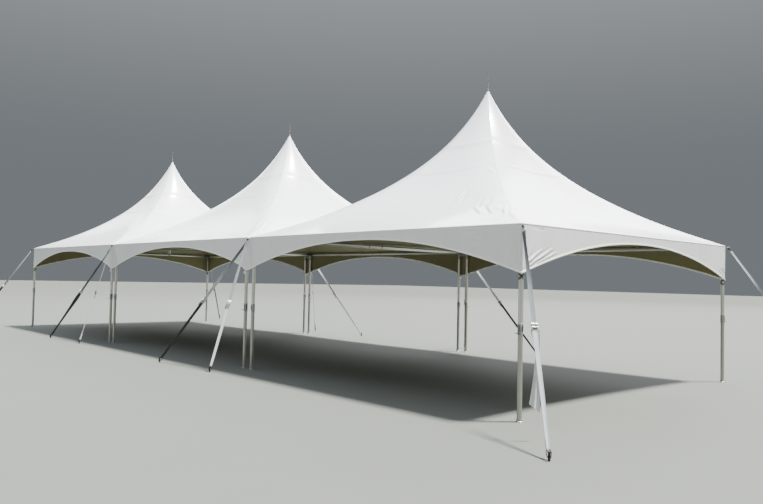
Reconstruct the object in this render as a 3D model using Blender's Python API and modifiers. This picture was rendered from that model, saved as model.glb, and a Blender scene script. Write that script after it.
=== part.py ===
"""High peak frame marquee of three square bays in a row, open on all sides.

Metres, +Z up. The origin is on the ground at the centre of the plan. X runs along the row,
and the front is at -Y. Each bay has four legs, four eave beams, a king pole that stands on
crossed cables, and a white membrane roof with a hanging arched valance. Straps run from
every leg's head to stakes in the ground.
"""

from math import pi, radians, sqrt

import bmesh
import bpy
from mathutils import Matrix, Vector

# Bays
BAY_WIDTH = 6.096
BAY_GAP = 0.165
EAVE_HEIGHT = 2.438
PEAK_HEIGHT = 5.240

# Membrane roof
MEMBRANE = 0.006
PEAK_HOLE = 0.014
SEAM = 0.004
STRAIGHT_SHARE = 0.473
CURVED_SHARE = 0.501
CURVE_POWER = 2.57
SPIKE_POWER = 25.0
SQUARING = 8.6
FACE_SAG = 0.082
SHARPEST_CORNER = 3000.0

# Valance
VALANCE_MIDDLE = 0.130
VALANCE_CORNER = 0.620
ARCH_POWER = 2.05

# Tubes of the frame
TUBE_RADIUS = 0.03175
FOOT_RADIUS = 0.045
FOOT_HEIGHT = 0.010
SPLICE_RADIUS = 0.0355
SPLICE_LENGTH = 0.140
SPLICE_HEIGHT = 1.130

# Cast heads on the legs
HEAD_WALL = 0.00275
ARM_STEP = 0.0005
HEAD_DROP = 0.160
HEAD_ARM = 0.150
LUG_THICKNESS = 0.006
LUG_HEIGHT = 0.040
LUG_REACH = 0.060
LUG_HOLE = 0.0095
LUG_MARGIN = 0.015
INNER_LUG = 0.090
BRIDGE_HEIGHT = 0.050
BRIDGE_THICKNESS = 0.012
BRIDGE_DROP = 0.070
CLAMP_SPACING = 0.360
CLAMP_WIDTH = 0.040

# King pole and its cables
FINIAL = 0.290
FINIAL_TIP = 0.004
FINIAL_ROD = 0.007
HUB_DROP = 0.108
HUB_RADIUS = 0.055
HUB_THICKNESS = 0.060
CABLE_RADIUS = 0.005
CABLE_DROP = 0.020

# Guys
STRAP_WIDTH = 0.050
STRAP_THICKNESS = 0.003
RING_RADIUS = 0.024
RING_WIRE = 0.0045
RATCHET_LENGTH = 0.095
RATCHET_WIDTH = 0.076
RATCHET_DEPTH = 0.040
RATCHET_AT = 0.480
STAKE_RADIUS = 0.0135
STAKE_HEIGHT = 0.095
STAKE_HEAD = 0.022
STAKE_HEAD_HEIGHT = 0.014
STRAP_END_HEIGHT = 0.040
CORNER_STAKE_OUT = 1.300
FRONT_LONG_ALONG = -1.750
FRONT_SHORT_ALONG = 0.050
BACK_LONG_ALONG = 1.550
BACK_SHORT_ALONG = -0.600
LONG_STAKE_OUT = 0.850
SHORT_STAKE_OUT = 0.770
TAIL_LENGTH = 0.810
TAIL_WIDTH = 0.110
TAIL_THICKNESS = 0.006
TAIL_SLANT = 0.090

# Gaps between touching pieces
SEAT = 0.0003
MEMBRANE_SEAT = 0.0008
RING_SEAT = 0.0014

# Fineness of the round and curved pieces
ROOF_RINGS = 8
ROOF_RING_POWER = 1.7
SIDE_STEPS = 8
TUBE_SIDES = 12
SMALL_SIDES = 8
RING_STEPS = 12
WIRE_STEPS = 5

HALF = BAY_WIDTH / 2
HEAD_RADIUS = TUBE_RADIUS + HEAD_WALL
ARM_RADIUS = HEAD_RADIUS - ARM_STEP
INSET = MEMBRANE + MEMBRANE_SEAT + HEAD_RADIUS
HEAD_HEIGHT = EAVE_HEIGHT - MEMBRANE - MEMBRANE_SEAT - HEAD_RADIUS
HUB_HEIGHT = EAVE_HEIGHT - HUB_DROP
LEG_LINE = HALF - INSET
LEG_TOP = HEAD_HEIGHT - HEAD_DROP - SEAT
BEAM_LENGTH = 2 * (LEG_LINE - HEAD_ARM - SEAT)
BAY_PITCH = BAY_WIDTH + BAY_GAP
FLAP = BAY_GAP / 2 - SEAM
HALF_PAIR = BAY_GAP / 2 + INSET
BAY_CENTRES = {"left": -BAY_PITCH, "middle": 0.0, "right": BAY_PITCH}
UP = Vector((0, 0, 1))
CORNER_OUTWARDS = Vector((1, -1, 0)).normalized()


def clear_scene():
    for thing in list(bpy.data.objects):
        bpy.data.objects.remove(thing, do_unlink=True)


def make_collection(name):
    collection = bpy.data.collections.new(name)
    bpy.context.scene.collection.children.link(collection)
    return collection


def make_material(name, colour, roughness, metallic):
    material = bpy.data.materials.new(name)
    material.use_nodes = True
    shader = material.node_tree.nodes["Principled BSDF"]
    shader.inputs["Base Color"].default_value = (*colour, 1.0)
    shader.inputs["Roughness"].default_value = roughness
    shader.inputs["Metallic"].default_value = metallic
    return material


def mesh_from(bm, name):
    mesh = bpy.data.meshes.new(name)
    bm.to_mesh(mesh)
    bm.free()
    return mesh


def loose_object(mesh):
    thing = bpy.data.objects.new(mesh.name, mesh)
    bpy.context.scene.collection.objects.link(thing)
    return thing


def evaluated_mesh(thing, name):
    """The mesh with its modifiers applied; the object that carried them is removed."""
    graph = bpy.context.evaluated_depsgraph_get()
    graph.update()
    mesh = bpy.data.meshes.new_from_object(thing.evaluated_get(graph))
    mesh.name = name
    bpy.data.objects.remove(thing, do_unlink=True)
    return mesh


def cylinder(start, end, radius, sides):
    """A closed round bar between two points."""
    start = Vector(start)
    run = Vector(end) - start
    turn = UP.rotation_difference(run).to_matrix().to_4x4()
    bm = bmesh.new()
    bmesh.ops.create_cone(
        bm, cap_ends=True, segments=sides, radius1=radius, radius2=radius, depth=run.length,
        matrix=Matrix.Translation(start + run / 2) @ turn,
    )
    return mesh_from(bm, "bar")


def block(centre, along, across, size):
    """A box whose first side runs along one direction and second side across it."""
    along = Vector(along).normalized()
    across = Vector(across).normalized()
    up = along.cross(across)
    axes = Matrix((along, across, up)).transposed().to_4x4()
    bm = bmesh.new()
    bmesh.ops.create_cube(
        bm, size=1.0, matrix=Matrix.Translation(Vector(centre)) @ axes @ Matrix.Diagonal((*size, 1.0))
    )
    return mesh_from(bm, "block")


def combined(name, base, others, operation="UNION"):
    """One body from a mesh and others that are joined to it or cut from it."""
    main = loose_object(base)
    helpers = [loose_object(mesh) for mesh in others]
    for helper in helpers:
        helper.display_type = "WIRE"
        helper.hide_render = True
        step = main.modifiers.new("step", "BOOLEAN")
        step.operation = operation
        step.solver = "EXACT"
        step.object = helper
    mesh = evaluated_mesh(main, name)
    for helper in helpers:
        bpy.data.objects.remove(helper, do_unlink=True)
    return mesh


def turned(name, profile, sides):
    """A body turned about Z from an outline that runs down its outer side."""
    bm = bmesh.new()
    points = [bm.verts.new((radius, 0, height)) for radius, height in profile]
    for upper, lower in zip(points, points[1:]):
        bm.edges.new((upper, lower))
    thing = loose_object(mesh_from(bm, name))
    screw = thing.modifiers.new("turn", "SCREW")
    screw.axis = "Z"
    screw.steps = sides
    screw.render_steps = sides
    screw.use_merge_vertices = True
    screw.merge_threshold = 0.00005
    return evaluated_mesh(thing, name)


def place(collection, name, mesh, material, location=(0, 0, 0), turn=0.0):
    if not mesh.materials:
        mesh.materials.append(material)
        mesh.shade_smooth()
        mesh.set_sharp_from_angle(angle=radians(35))
    thing = bpy.data.objects.new(name, mesh)
    thing.location = location
    thing.rotation_euler = (0, 0, turn)
    collection.objects.link(thing)


def roof_height(level, lean):
    """Height of the membrane; level is 0 at the peak and 1 at the eave, lean is 1 on a hip."""
    rest = 1 - level
    spike_share = 1 - STRAIGHT_SHARE - CURVED_SHARE
    rise = STRAIGHT_SHARE * rest + CURVED_SHARE * rest**CURVE_POWER + spike_share * rest**SPIKE_POWER
    sag = FACE_SAG * (1 - lean * lean) * 4 * level * rest
    return EAVE_HEIGHT + (PEAK_HEIGHT - EAVE_HEIGHT) * rise - sag


def roof_reach(level, lean):
    """Share of a straight-sided square that the rounded ring keeps at this lean."""
    if level >= 1:
        return 1.0
    power = min(2 + SQUARING * level**2 / (1.0001 - level), SHARPEST_CORNER)
    return (1 + abs(lean) ** power) ** (-1 / power)


def roof_point(level, side, lean):
    """A point of the roof; side 0 faces +X and the others follow anticlockwise."""
    reach = HALF * level * roof_reach(level, lean)
    turn = Matrix.Rotation(side * pi / 2, 3, "Z")
    return turn @ Vector((reach, reach * lean, roof_height(level, lean)))


def valance_depth(along):
    share = min(abs(along) / HALF, 1.0)
    return VALANCE_MIDDLE + (VALANCE_CORNER - VALANCE_MIDDLE) * share**ARCH_POWER


def roof_rings(bm):
    """Rings of vertices from the hole at the peak to the square eave."""
    first = PEAK_HOLE / HALF
    rings = []
    for step in range(ROOF_RINGS + 1):
        level = first + (1 - first) * (step / ROOF_RINGS) ** ROOF_RING_POWER
        ring = []
        for side in range(4):
            for part in range(SIDE_STEPS):
                lean = -1 + 2 * part / SIDE_STEPS
                ring.append(bm.verts.new(roof_point(level, side, lean)))
        rings.append(ring)
    for inner, outer in zip(rings, rings[1:]):
        for here in range(len(inner)):
            after = (here + 1) % len(inner)
            bm.faces.new((inner[here], outer[here], outer[after], inner[after]))
    return rings[-1]


def side_of(eave, side):
    """The eave's vertices along one side, both corners included."""
    start = side * SIDE_STEPS
    return [eave[(start + part) % len(eave)] for part in range(SIDE_STEPS + 1)]


def add_flap(bm, edge, direction):
    """The level flap of a shared side; it returns the flap's outer vertices."""
    outer = [bm.verts.new(vert.co + Vector((direction * FLAP, 0, 0))) for vert in edge]
    for here in range(len(edge) - 1):
        bm.faces.new((edge[here], outer[here], outer[here + 1], edge[here + 1]))
    return outer


def add_valance(bm, top):
    """The hanging strip under a run of eave vertices, deeper towards each corner."""
    below = []
    for vert in top:
        on_long_side = abs(abs(vert.co.y) - HALF) < SEAM
        along = vert.co.x if on_long_side else vert.co.y
        below.append(bm.verts.new(vert.co - UP * valance_depth(along)))
    for here in range(len(top) - 1):
        bm.faces.new((top[here], below[here], below[here + 1], top[here + 1]))


def canopy_surface(open_sides):
    """Roof and valance as one thin sheet; open_sides are the shared sides, 0 for +X and 2 for -X."""
    bm = bmesh.new()
    eave = roof_rings(bm)
    front = side_of(eave, 3)
    back = side_of(eave, 1)
    left_flap = add_flap(bm, side_of(eave, 2), -1)
    front = [left_flap[-1], *front]
    back = [*back, left_flap[0]]
    if 0 in open_sides:
        right_flap = add_flap(bm, side_of(eave, 0), 1)
        add_valance(bm, [*front, right_flap[0]])
        add_valance(bm, [right_flap[-1], *back])
    else:
        end = side_of(eave, 0)
        add_valance(bm, [*front, *end[1:], *back[1:]])
    return mesh_from(bm, "canopy_sheet")


def canopy_mesh(name, open_sides):
    """The membrane with its thickness, slotted at each outer corner for the head's lug."""
    thing = loose_object(canopy_surface(open_sides))
    skin = thing.modifiers.new("thickness", "SOLIDIFY")
    skin.thickness = MEMBRANE
    skin.offset = -1
    skin.use_even_offset = True
    skin.use_quality_normals = True
    sheet = evaluated_mesh(thing, name)
    if 0 in open_sides:
        return sheet
    slots = []
    for sign in (-1, 1):
        outwards = Vector((1, sign, 0)).normalized()
        across = UP.cross(outwards)
        size = (4 * INSET, LUG_THICKNESS + 2 * MEMBRANE_SEAT, LUG_HEIGHT + 2 * MEMBRANE_SEAT)
        slots.append(block((HALF, sign * HALF, HEAD_HEIGHT), outwards, across, size))
    return combined(name, sheet, slots, "DIFFERENCE")


def add_canopies(collection, material):
    end = canopy_mesh("end_canopy", (2,))
    middle = canopy_mesh("middle_canopy", (0, 2))
    place(collection, "canopy_right_bay", end, material, (BAY_CENTRES["right"], 0, 0))
    place(collection, "canopy_left_bay", end, material, (BAY_CENTRES["left"], 0, 0), pi)
    place(collection, "canopy_middle_bay", middle, material)


def add_legs(collection, material):
    splice_top = SPLICE_HEIGHT + SPLICE_LENGTH / 2
    splice_bottom = SPLICE_HEIGHT - SPLICE_LENGTH / 2
    profile = [
        (0, LEG_TOP),
        (TUBE_RADIUS, LEG_TOP),
        (TUBE_RADIUS, splice_top),
        (SPLICE_RADIUS, splice_top),
        (SPLICE_RADIUS, splice_bottom),
        (TUBE_RADIUS, splice_bottom),
        (TUBE_RADIUS, FOOT_HEIGHT),
        (FOOT_RADIUS, FOOT_HEIGHT),
        (FOOT_RADIUS, 0),
        (0, 0),
    ]
    leg = turned("leg", profile, TUBE_SIDES)
    for bay, centre in BAY_CENTRES.items():
        for across, y_sign in (("front", -1), ("back", 1)):
            for along, x_sign in (("left", -1), ("right", 1)):
                spot = (centre + x_sign * LEG_LINE, y_sign * LEG_LINE, 0)
                place(collection, f"leg_{bay}_bay_{across}_{along}", leg, material, spot)


def head_parts(x, arm_sign):
    """Stub, two arms and inner lug of one head at a front leg; the first arm points along X."""
    inwards = Vector((arm_sign, 1, 0)).normalized()
    centre = Vector((x, 0, 0))
    lug_size = (INNER_LUG, LUG_THICKNESS, LUG_HEIGHT)
    lug_centre = centre + inwards * INNER_LUG / 2 - UP * CABLE_DROP
    return [
        cylinder(centre - UP * HEAD_DROP, centre + UP * HEAD_RADIUS, HEAD_RADIUS, TUBE_SIDES),
        cylinder(centre, centre + Vector((arm_sign * HEAD_ARM, 0, 0)), ARM_RADIUS, TUBE_SIDES),
        cylinder(centre, centre + Vector((0, HEAD_ARM, 0)), ARM_RADIUS, TUBE_SIDES),
        block(lug_centre, inwards, UP.cross(inwards), lug_size),
    ]


def eye_lug(outwards, length):
    """A flat lug from a head to its eye, with the eye's cutter."""
    across = UP.cross(outwards)
    lug = block(outwards * length / 2, outwards, across, (length, LUG_THICKNESS, LUG_HEIGHT))
    eye = outwards * (length - LUG_MARGIN)
    hole = cylinder(eye - across * LUG_THICKNESS, eye + across * LUG_THICKNESS, LUG_HOLE, TUBE_SIDES)
    return lug, hole


def add_heads(collection, material):
    stub, *rest = head_parts(0, -1)
    lug, hole = eye_lug(CORNER_OUTWARDS, sqrt(2) * INSET + LUG_REACH)
    corner = combined("corner_head", stub, [*rest, lug])
    corner = combined("corner_head", corner, [hole], "DIFFERENCE")
    end = BAY_CENTRES["right"] + LEG_LINE
    turns = (
        ("front_right", 1, -1, 0),
        ("back_right", 1, 1, 1),
        ("back_left", -1, 1, 2),
        ("front_left", -1, -1, 3),
    )
    for where, x_sign, y_sign, quarter in turns:
        spot = (x_sign * end, y_sign * LEG_LINE, HEAD_HEIGHT)
        place(collection, f"corner_fitting_{where}", corner, material, spot, quarter * pi / 2)
    stub, *rest = head_parts(-HALF_PAIR, -1)
    rest += head_parts(HALF_PAIR, 1)
    bridge_size = (2 * HALF_PAIR, BRIDGE_THICKNESS, BRIDGE_HEIGHT)
    web_size = (BRIDGE_THICKNESS, LUG_THICKNESS, BRIDGE_DROP + LUG_HEIGHT / 2)
    rest.append(block((0, 0, -BRIDGE_DROP), (1, 0, 0), (0, 1, 0), bridge_size))
    rest.append(block((0, 0, -BRIDGE_DROP / 2), (0, 1, 0), (1, 0, 0), web_size))
    lug, hole = eye_lug(Vector((0, -1, 0)), INSET + LUG_REACH)
    pair = combined("junction_head", stub, [*rest, lug])
    pair = combined("junction_head", pair, [hole], "DIFFERENCE")
    for side, x_sign in (("left", -1), ("right", 1)):
        x = x_sign * BAY_PITCH / 2
        place(collection, f"junction_fitting_front_{side}", pair, material, (x, -LEG_LINE, HEAD_HEIGHT))
        place(collection, f"junction_fitting_back_{side}", pair, material, (x, LEG_LINE, HEAD_HEIGHT), pi)


def add_beams(collection, material):
    half = BEAM_LENGTH / 2
    beam = cylinder((-half, 0, 0), (half, 0, 0), TUBE_RADIUS, TUBE_SIDES)
    for bay, centre in BAY_CENTRES.items():
        for across, y_sign in (("front", -1), ("back", 1)):
            spot = (centre, y_sign * LEG_LINE, HEAD_HEIGHT)
            place(collection, f"eave_beam_{bay}_bay_{across}", beam, material, spot)
    for side, x_sign in (("left", -1), ("right", 1)):
        spot = (x_sign * (BAY_PITCH + LEG_LINE), 0, HEAD_HEIGHT)
        place(collection, f"eave_beam_{side}_end", beam, material, spot, pi / 2)
    first = cylinder((-HALF_PAIR, -half, 0), (-HALF_PAIR, half, 0), TUBE_RADIUS, TUBE_SIDES)
    joined = [cylinder((HALF_PAIR, -half, 0), (HALF_PAIR, half, 0), TUBE_RADIUS, TUBE_SIDES)]
    clamp_size = (2 * HALF_PAIR, CLAMP_WIDTH, BRIDGE_THICKNESS)
    for y_sign in (-1, 1):
        middle = (0, y_sign * CLAMP_SPACING / 2, 0)
        joined.append(block(middle, (1, 0, 0), (0, 1, 0), clamp_size))
    valley = combined("valley_beams", first, joined)
    for side, x_sign in (("left", -1), ("right", 1)):
        spot = (x_sign * BAY_PITCH / 2, 0, HEAD_HEIGHT)
        place(collection, f"valley_beams_{side}", valley, material, spot)


def under_membrane(radius):
    """Height of the pole's cap at a radius, just below the membrane's inner face."""
    level = radius / HALF
    step = 1 / 100
    slope = (roof_height(level, 0) - roof_height(level + step * level, 0)) / (step * radius)
    return roof_height(level, 0) - (MEMBRANE + MEMBRANE_SEAT) * sqrt(1 + slope * slope)


def add_king_poles(collection, material):
    base = HUB_HEIGHT + HUB_THICKNESS / 2 + SEAT
    cap_top = under_membrane(PEAK_HOLE)
    profile = [
        (0, PEAK_HEIGHT + FINIAL),
        (FINIAL_TIP, PEAK_HEIGHT + FINIAL),
        (FINIAL_ROD, PEAK_HEIGHT),
        (FINIAL_ROD, cap_top),
        (PEAK_HOLE, cap_top),
        (TUBE_RADIUS, under_membrane(TUBE_RADIUS)),
        (TUBE_RADIUS, base),
        (0, base),
    ]
    pole = turned("king_pole", profile, TUBE_SIDES)
    for bay, centre in BAY_CENTRES.items():
        place(collection, f"king_pole_{bay}_bay", pole, material, (centre, 0, 0))


def add_cables(collection, material):
    hub = cylinder((0, 0, -HUB_THICKNESS / 2), (0, 0, HUB_THICKNESS / 2), HUB_RADIUS, TUBE_SIDES)
    reach = LEG_LINE - (INNER_LUG + SEAT) / sqrt(2)
    rise = HEAD_HEIGHT - CABLE_DROP - HUB_HEIGHT
    cables = []
    for x_sign in (-1, 1):
        for y_sign in (-1, 1):
            end = (x_sign * reach, y_sign * reach, rise)
            cables.append(cylinder((0, 0, 0), end, CABLE_RADIUS, SMALL_SIDES))
    cross = combined("cable_cross", hub, cables)
    for bay, centre in BAY_CENTRES.items():
        place(collection, f"cable_cross_{bay}_bay", cross, material, (centre, 0, HUB_HEIGHT))


def guy_ring(centre, down, pin):
    """The ring that hangs in a lug's eye, with a joint of its faceted wire in the eye itself."""
    bpy.ops.mesh.primitive_torus_add(
        major_radius=RING_RADIUS,
        minor_radius=RING_WIRE,
        major_segments=RING_STEPS,
        minor_segments=WIRE_STEPS,
    )
    ring = bpy.context.object
    mesh = ring.data
    axes = Matrix((-down, pin, pin.cross(down))).transposed().to_4x4()
    mesh.transform(Matrix.Translation(centre) @ axes)
    bpy.data.objects.remove(ring, do_unlink=True)
    return mesh


def strap_line(eye, pin, stake):
    """The ring's centre and the way it hangs, and where its strap starts and ends."""
    end = Vector(stake) + UP * STRAP_END_HEIGHT
    pull = end - eye
    down = (pull - pin * pull.dot(pin)).normalized()
    centre = eye + down * (RING_RADIUS + LUG_HOLE - RING_WIRE - RING_SEAT)
    start = centre + (end - centre).normalized() * RING_RADIUS
    return centre, down, start, end


def guy_parts(start, end):
    """Strap, ratchet, stake and stake head of one guy."""
    run = end - start
    across = UP.cross(run)
    foot = Vector((end.x, end.y, 0))
    head_top = foot + UP * STAKE_HEIGHT
    return [
        block(start + run / 2, run, across, (run.length, STRAP_WIDTH, STRAP_THICKNESS)),
        block(start + run * RATCHET_AT, run, across, (RATCHET_LENGTH, RATCHET_WIDTH, RATCHET_DEPTH)),
        cylinder(foot, head_top - UP * STAKE_HEAD_HEIGHT / 2, STAKE_RADIUS, SMALL_SIDES),
        cylinder(head_top - UP * STAKE_HEAD_HEIGHT, head_top, STAKE_HEAD, SMALL_SIDES),
    ]


def corner_strap():
    """The ring and strap of the front right corner's guy, seen from its bay's centre."""
    corner = Vector((LEG_LINE, -LEG_LINE, HEAD_HEIGHT))
    eye = corner + CORNER_OUTWARDS * (sqrt(2) * INSET + LUG_REACH - LUG_MARGIN)
    stake = (HALF + CORNER_STAKE_OUT, -HALF - CORNER_STAKE_OUT, 0)
    return strap_line(eye, UP.cross(CORNER_OUTWARDS), stake)


def add_guys(collection, material):
    centre, down, start, end = corner_strap()
    ring = guy_ring(centre, down, UP.cross(CORNER_OUTWARDS))
    corner = combined("corner_guy", ring, guy_parts(start, end))
    turns = (("front_right", 0), ("back_right", 1), ("back_left", 2), ("front_left", 3))
    for where, quarter in turns:
        x = BAY_PITCH if where.endswith("right") else -BAY_PITCH
        place(collection, f"corner_guy_{where}", corner, material, (x, 0, 0), quarter * pi / 2)
    pin = Vector((1, 0, 0))
    rows = (
        ("front", -1, FRONT_LONG_ALONG, FRONT_SHORT_ALONG),
        ("back", 1, BACK_LONG_ALONG, BACK_SHORT_ALONG),
    )
    for across, y_sign, long_along, short_along in rows:
        eye = Vector((0, y_sign * (HALF + LUG_REACH - LUG_MARGIN), HEAD_HEIGHT))
        long_stake = (long_along, y_sign * (HALF + LONG_STAKE_OUT), 0)
        short_stake = (short_along, y_sign * (HALF + SHORT_STAKE_OUT), 0)
        centre, down, start, end = strap_line(eye, pin, long_stake)
        _, _, second_start, second_end = strap_line(eye, pin, short_stake)
        parts = guy_parts(start, end) + guy_parts(second_start, second_end)
        pair = combined(f"junction_guys_{across}", guy_ring(centre, down, pin), parts)
        for side, x_sign in (("left", -1), ("right", 1)):
            spot = (x_sign * BAY_PITCH / 2, 0, 0)
            place(collection, f"junction_guys_{across}_{side}", pair, material, spot)


def add_tail(collection, material):
    """The loose end of the front right strap, which hangs from its ratchet's lowest edge."""
    _, _, start, end = corner_strap()
    run = (end - start).normalized()
    inner_face = UP.cross(run).cross(run).normalized()
    top = start + (end - start) * RATCHET_AT + run * RATCHET_LENGTH / 2 + inner_face * RATCHET_DEPTH / 2
    curve = bpy.data.curves.new("guy_tail", "CURVE")
    curve.dimensions = "2D"
    curve.fill_mode = "BOTH"
    curve.extrude = TAIL_THICKNESS / 2
    outline = curve.splines.new("POLY")
    outline.points.add(3)
    corners = (
        (-STRAP_WIDTH / 2, 0),
        (-TAIL_WIDTH / 2, -TAIL_LENGTH),
        (TAIL_WIDTH / 2, -TAIL_LENGTH - TAIL_SLANT),
        (STRAP_WIDTH / 2, 0),
    )
    for point, (x, y) in zip(outline.points, corners):
        point.co = (x, y, 0, 1)
    outline.use_cyclic_u = True
    thing = bpy.data.objects.new("guy_tail_front_right", curve)
    thing.data.materials.append(material)
    thing.location = (BAY_PITCH + top.x, top.y, top.z - SEAT)
    thing.rotation_euler = (pi / 2, 0, pi / 4)
    collection.objects.link(thing)


def main():
    clear_scene()
    marquee = make_collection("marquee")
    membrane = make_material("white_membrane", (0.80, 0.81, 0.80), 0.45, 0.0)
    aluminium = make_material("aluminium_tube", (0.62, 0.63, 0.64), 0.38, 1.0)
    casting = make_material("cast_head", (0.50, 0.51, 0.52), 0.50, 1.0)
    steel = make_material("galvanised_steel", (0.42, 0.43, 0.44), 0.45, 1.0)
    webbing = make_material("grey_webbing", (0.55, 0.56, 0.58), 0.80, 0.0)
    add_canopies(marquee, membrane)
    add_legs(marquee, aluminium)
    add_heads(marquee, casting)
    add_beams(marquee, aluminium)
    add_king_poles(marquee, aluminium)
    add_cables(marquee, steel)
    add_guys(marquee, webbing)
    add_tail(marquee, webbing)


main()
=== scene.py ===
"""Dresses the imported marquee: three square bays under high peaked membrane roofs.

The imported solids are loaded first. Each class below makes one kind of piece in the same
metres and axes as theirs: X runs along the row, the front is at -Y, and Z is up from the
ground.
"""

import logging
import math
from dataclasses import dataclass, field
from enum import Enum
from typing import Callable, Sequence

import bmesh
import bpy
import numpy as np
from bpy.types import ID, Material, Node, NodeSocket, NodeTree, Object
from mathutils import Matrix, Vector


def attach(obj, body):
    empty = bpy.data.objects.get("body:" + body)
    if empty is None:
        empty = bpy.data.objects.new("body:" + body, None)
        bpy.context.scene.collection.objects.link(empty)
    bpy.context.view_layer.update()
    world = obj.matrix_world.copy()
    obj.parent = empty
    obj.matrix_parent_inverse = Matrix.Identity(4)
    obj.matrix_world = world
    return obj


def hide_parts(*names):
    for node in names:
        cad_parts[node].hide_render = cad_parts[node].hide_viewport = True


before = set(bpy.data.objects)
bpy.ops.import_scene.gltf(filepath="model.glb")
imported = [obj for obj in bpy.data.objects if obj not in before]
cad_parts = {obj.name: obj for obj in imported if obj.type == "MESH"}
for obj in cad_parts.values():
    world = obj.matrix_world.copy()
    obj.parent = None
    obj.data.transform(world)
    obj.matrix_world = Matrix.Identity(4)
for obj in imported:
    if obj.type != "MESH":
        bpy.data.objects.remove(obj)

LOG = logging.getLogger("marquee")
ALONG = Vector((1.0, 0.0, 0.0))
BACKWARDS = Vector((0.0, 1.0, 0.0))
UP = Vector((0.0, 0.0, 1.0))
MILLIMETRE = 0.001


class Word(Enum):
    """A named place, whose name the nodes spell in small letters."""

    @property
    def word(self) -> str:
        """The name as the nodes spell it."""
        return self.name.lower()


class Bay(Word):
    """The three bays, each with its step from the middle of the row."""

    LEFT = -1
    MIDDLE = 0
    RIGHT = 1

    @property
    def centre(self) -> float:
        """X of the bay's king pole."""
        return self.value * PLAN.pitch

    @property
    def open_sides(self) -> tuple[int, ...]:
        """Sides that the bay shares with a neighbour: 0 faces +X and 2 faces -X."""
        return {Bay.LEFT: (0,), Bay.MIDDLE: (0, 2), Bay.RIGHT: (2,)}[self]

    @property
    def runs(self) -> list[list[int]]:
        """Sides whose valances hang as one strip, in order."""
        return {Bay.LEFT: [[1, 2, 3]], Bay.MIDDLE: [[3], [1]], Bay.RIGHT: [[3, 0, 1]]}[self]


class Row(Word):
    """The two long sides of the marquee."""

    FRONT = -1
    BACK = 1


class Hand(Word):
    """Left and right as seen from the front."""

    LEFT = -1
    RIGHT = 1


CORNERS = ((Row.FRONT, Hand.RIGHT), (Row.BACK, Hand.RIGHT), (Row.BACK, Hand.LEFT), (Row.FRONT, Hand.LEFT))


class Slot(Enum):
    """The record's material slots."""

    MEMBRANE = "white_membrane"
    TUBE = "aluminium_tube"
    CASTING = "cast_head"
    STEEL = "galvanised_steel"
    WEBBING = "grey_webbing"


class Texture(Enum):
    """How a metal's surface was made."""

    DRAWN = "drawn"
    CAST = "cast"
    SPANGLED = "spangled"
    FORGED = "forged"
    STRANDED = "stranded"


@dataclass(frozen=True)
class Plan:
    """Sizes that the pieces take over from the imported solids, in metres."""

    bay_width: float = 6.096
    bay_gap: float = 0.165
    eave_height: float = 2.438
    peak_height: float = 5.240
    membrane: float = 0.006
    membrane_seat: float = 0.0008
    seam: float = 0.004
    tube_radius: float = 0.03175
    head_radius: float = 0.0345
    head_drop: float = 0.160
    head_arm: float = 0.150
    inner_lug: float = 0.090
    cable_drop: float = 0.020
    hub_drop: float = 0.108
    hub_thickness: float = 0.060
    guy_lug: float = 0.060
    lug_margin: float = 0.015
    lug_hole: float = 0.0095
    seat: float = 0.0003

    @property
    def half(self) -> float:
        """Half of a bay."""
        return self.bay_width / 2

    @property
    def inset(self) -> float:
        """From the membrane's face to a leg's centre."""
        return self.membrane + self.membrane_seat + self.head_radius

    @property
    def leg_line(self) -> float:
        """From a bay's centre to its legs' centres."""
        return self.half - self.inset

    @property
    def head_height(self) -> float:
        """Height of the beams' centres."""
        return self.eave_height - self.inset

    @property
    def pitch(self) -> float:
        """From one king pole to the next."""
        return self.bay_width + self.bay_gap

    @property
    def end_line(self) -> float:
        """From the middle of the row to the legs at its ends."""
        return self.pitch + self.leg_line

    @property
    def flap(self) -> float:
        """Width of a canopy's level edge on a shared side."""
        return self.bay_gap / 2 - self.seam

    @property
    def half_pair(self) -> float:
        """From the line between two bays to the legs beside it."""
        return self.bay_gap / 2 + self.inset


PLAN = Plan()


def hex_to_linear(code: str) -> tuple[float, float, float, float]:
    """Turns an sRGB hex colour into a linear one.

    Args:
        code: Six hex digits after a hash.

    Returns:
        Linear red, green and blue, and an alpha of 1.
    """
    channels = [int(code[place : place + 2], 16) / 255 for place in (1, 3, 5)]
    linear = [value / 12.92 if value <= 0.04045 else ((value + 0.055) / 1.055) ** 2.4 for value in channels]
    return (*linear, 1.0)


def add_node(tree: NodeTree, kind: str, inputs: dict | None = None, **settings: str | bool) -> Node:
    """Adds a shader node.

    Args:
        tree: The node tree.
        kind: The node's type, without the words that all of them start with.
        inputs: Values, sockets or nodes by input; a node stands for its first output.
        **settings: The node's properties.

    Returns:
        The node.
    """
    node = tree.nodes.new("ShaderNode" + kind)
    for name, value in settings.items():
        setattr(node, name, value)
    for key, value in (inputs or {}).items():
        source = value.outputs[0] if isinstance(value, Node) else value
        if isinstance(source, NodeSocket):
            tree.links.new(source, node.inputs[key])
        else:
            node.inputs[key].default_value = source
    return node


def per_pattern(size_mm: float) -> float:
    """Texture scale of a pattern that repeats every so many millimetres."""
    return 1.0 / (size_mm * MILLIMETRE)


@dataclass(frozen=True)
class Finish:
    """A material: each kind of finish gives its look, the shader's inputs.

    The grain attribute marks every point. On a membrane it holds the weld and the share of the
    way down; on turned and swept metal the place round the piece and the metres along it; on
    webbing the metres from its middle line in X and along it in Z.
    """

    name: str

    def look(self, tree: NodeTree) -> dict:
        """The shader's values and links by the input's name."""
        raise NotImplementedError

    def make(self) -> Material:
        """Builds the material.

        Returns:
            The material with its look.
        """
        material = bpy.data.materials.new(self.name)
        material.use_nodes = True
        tree = material.node_tree
        tree.nodes.clear()
        add_node(tree, "OutputMaterial", {"Surface": add_node(tree, "BsdfPrincipled", self.look(tree))})
        return material


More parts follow.
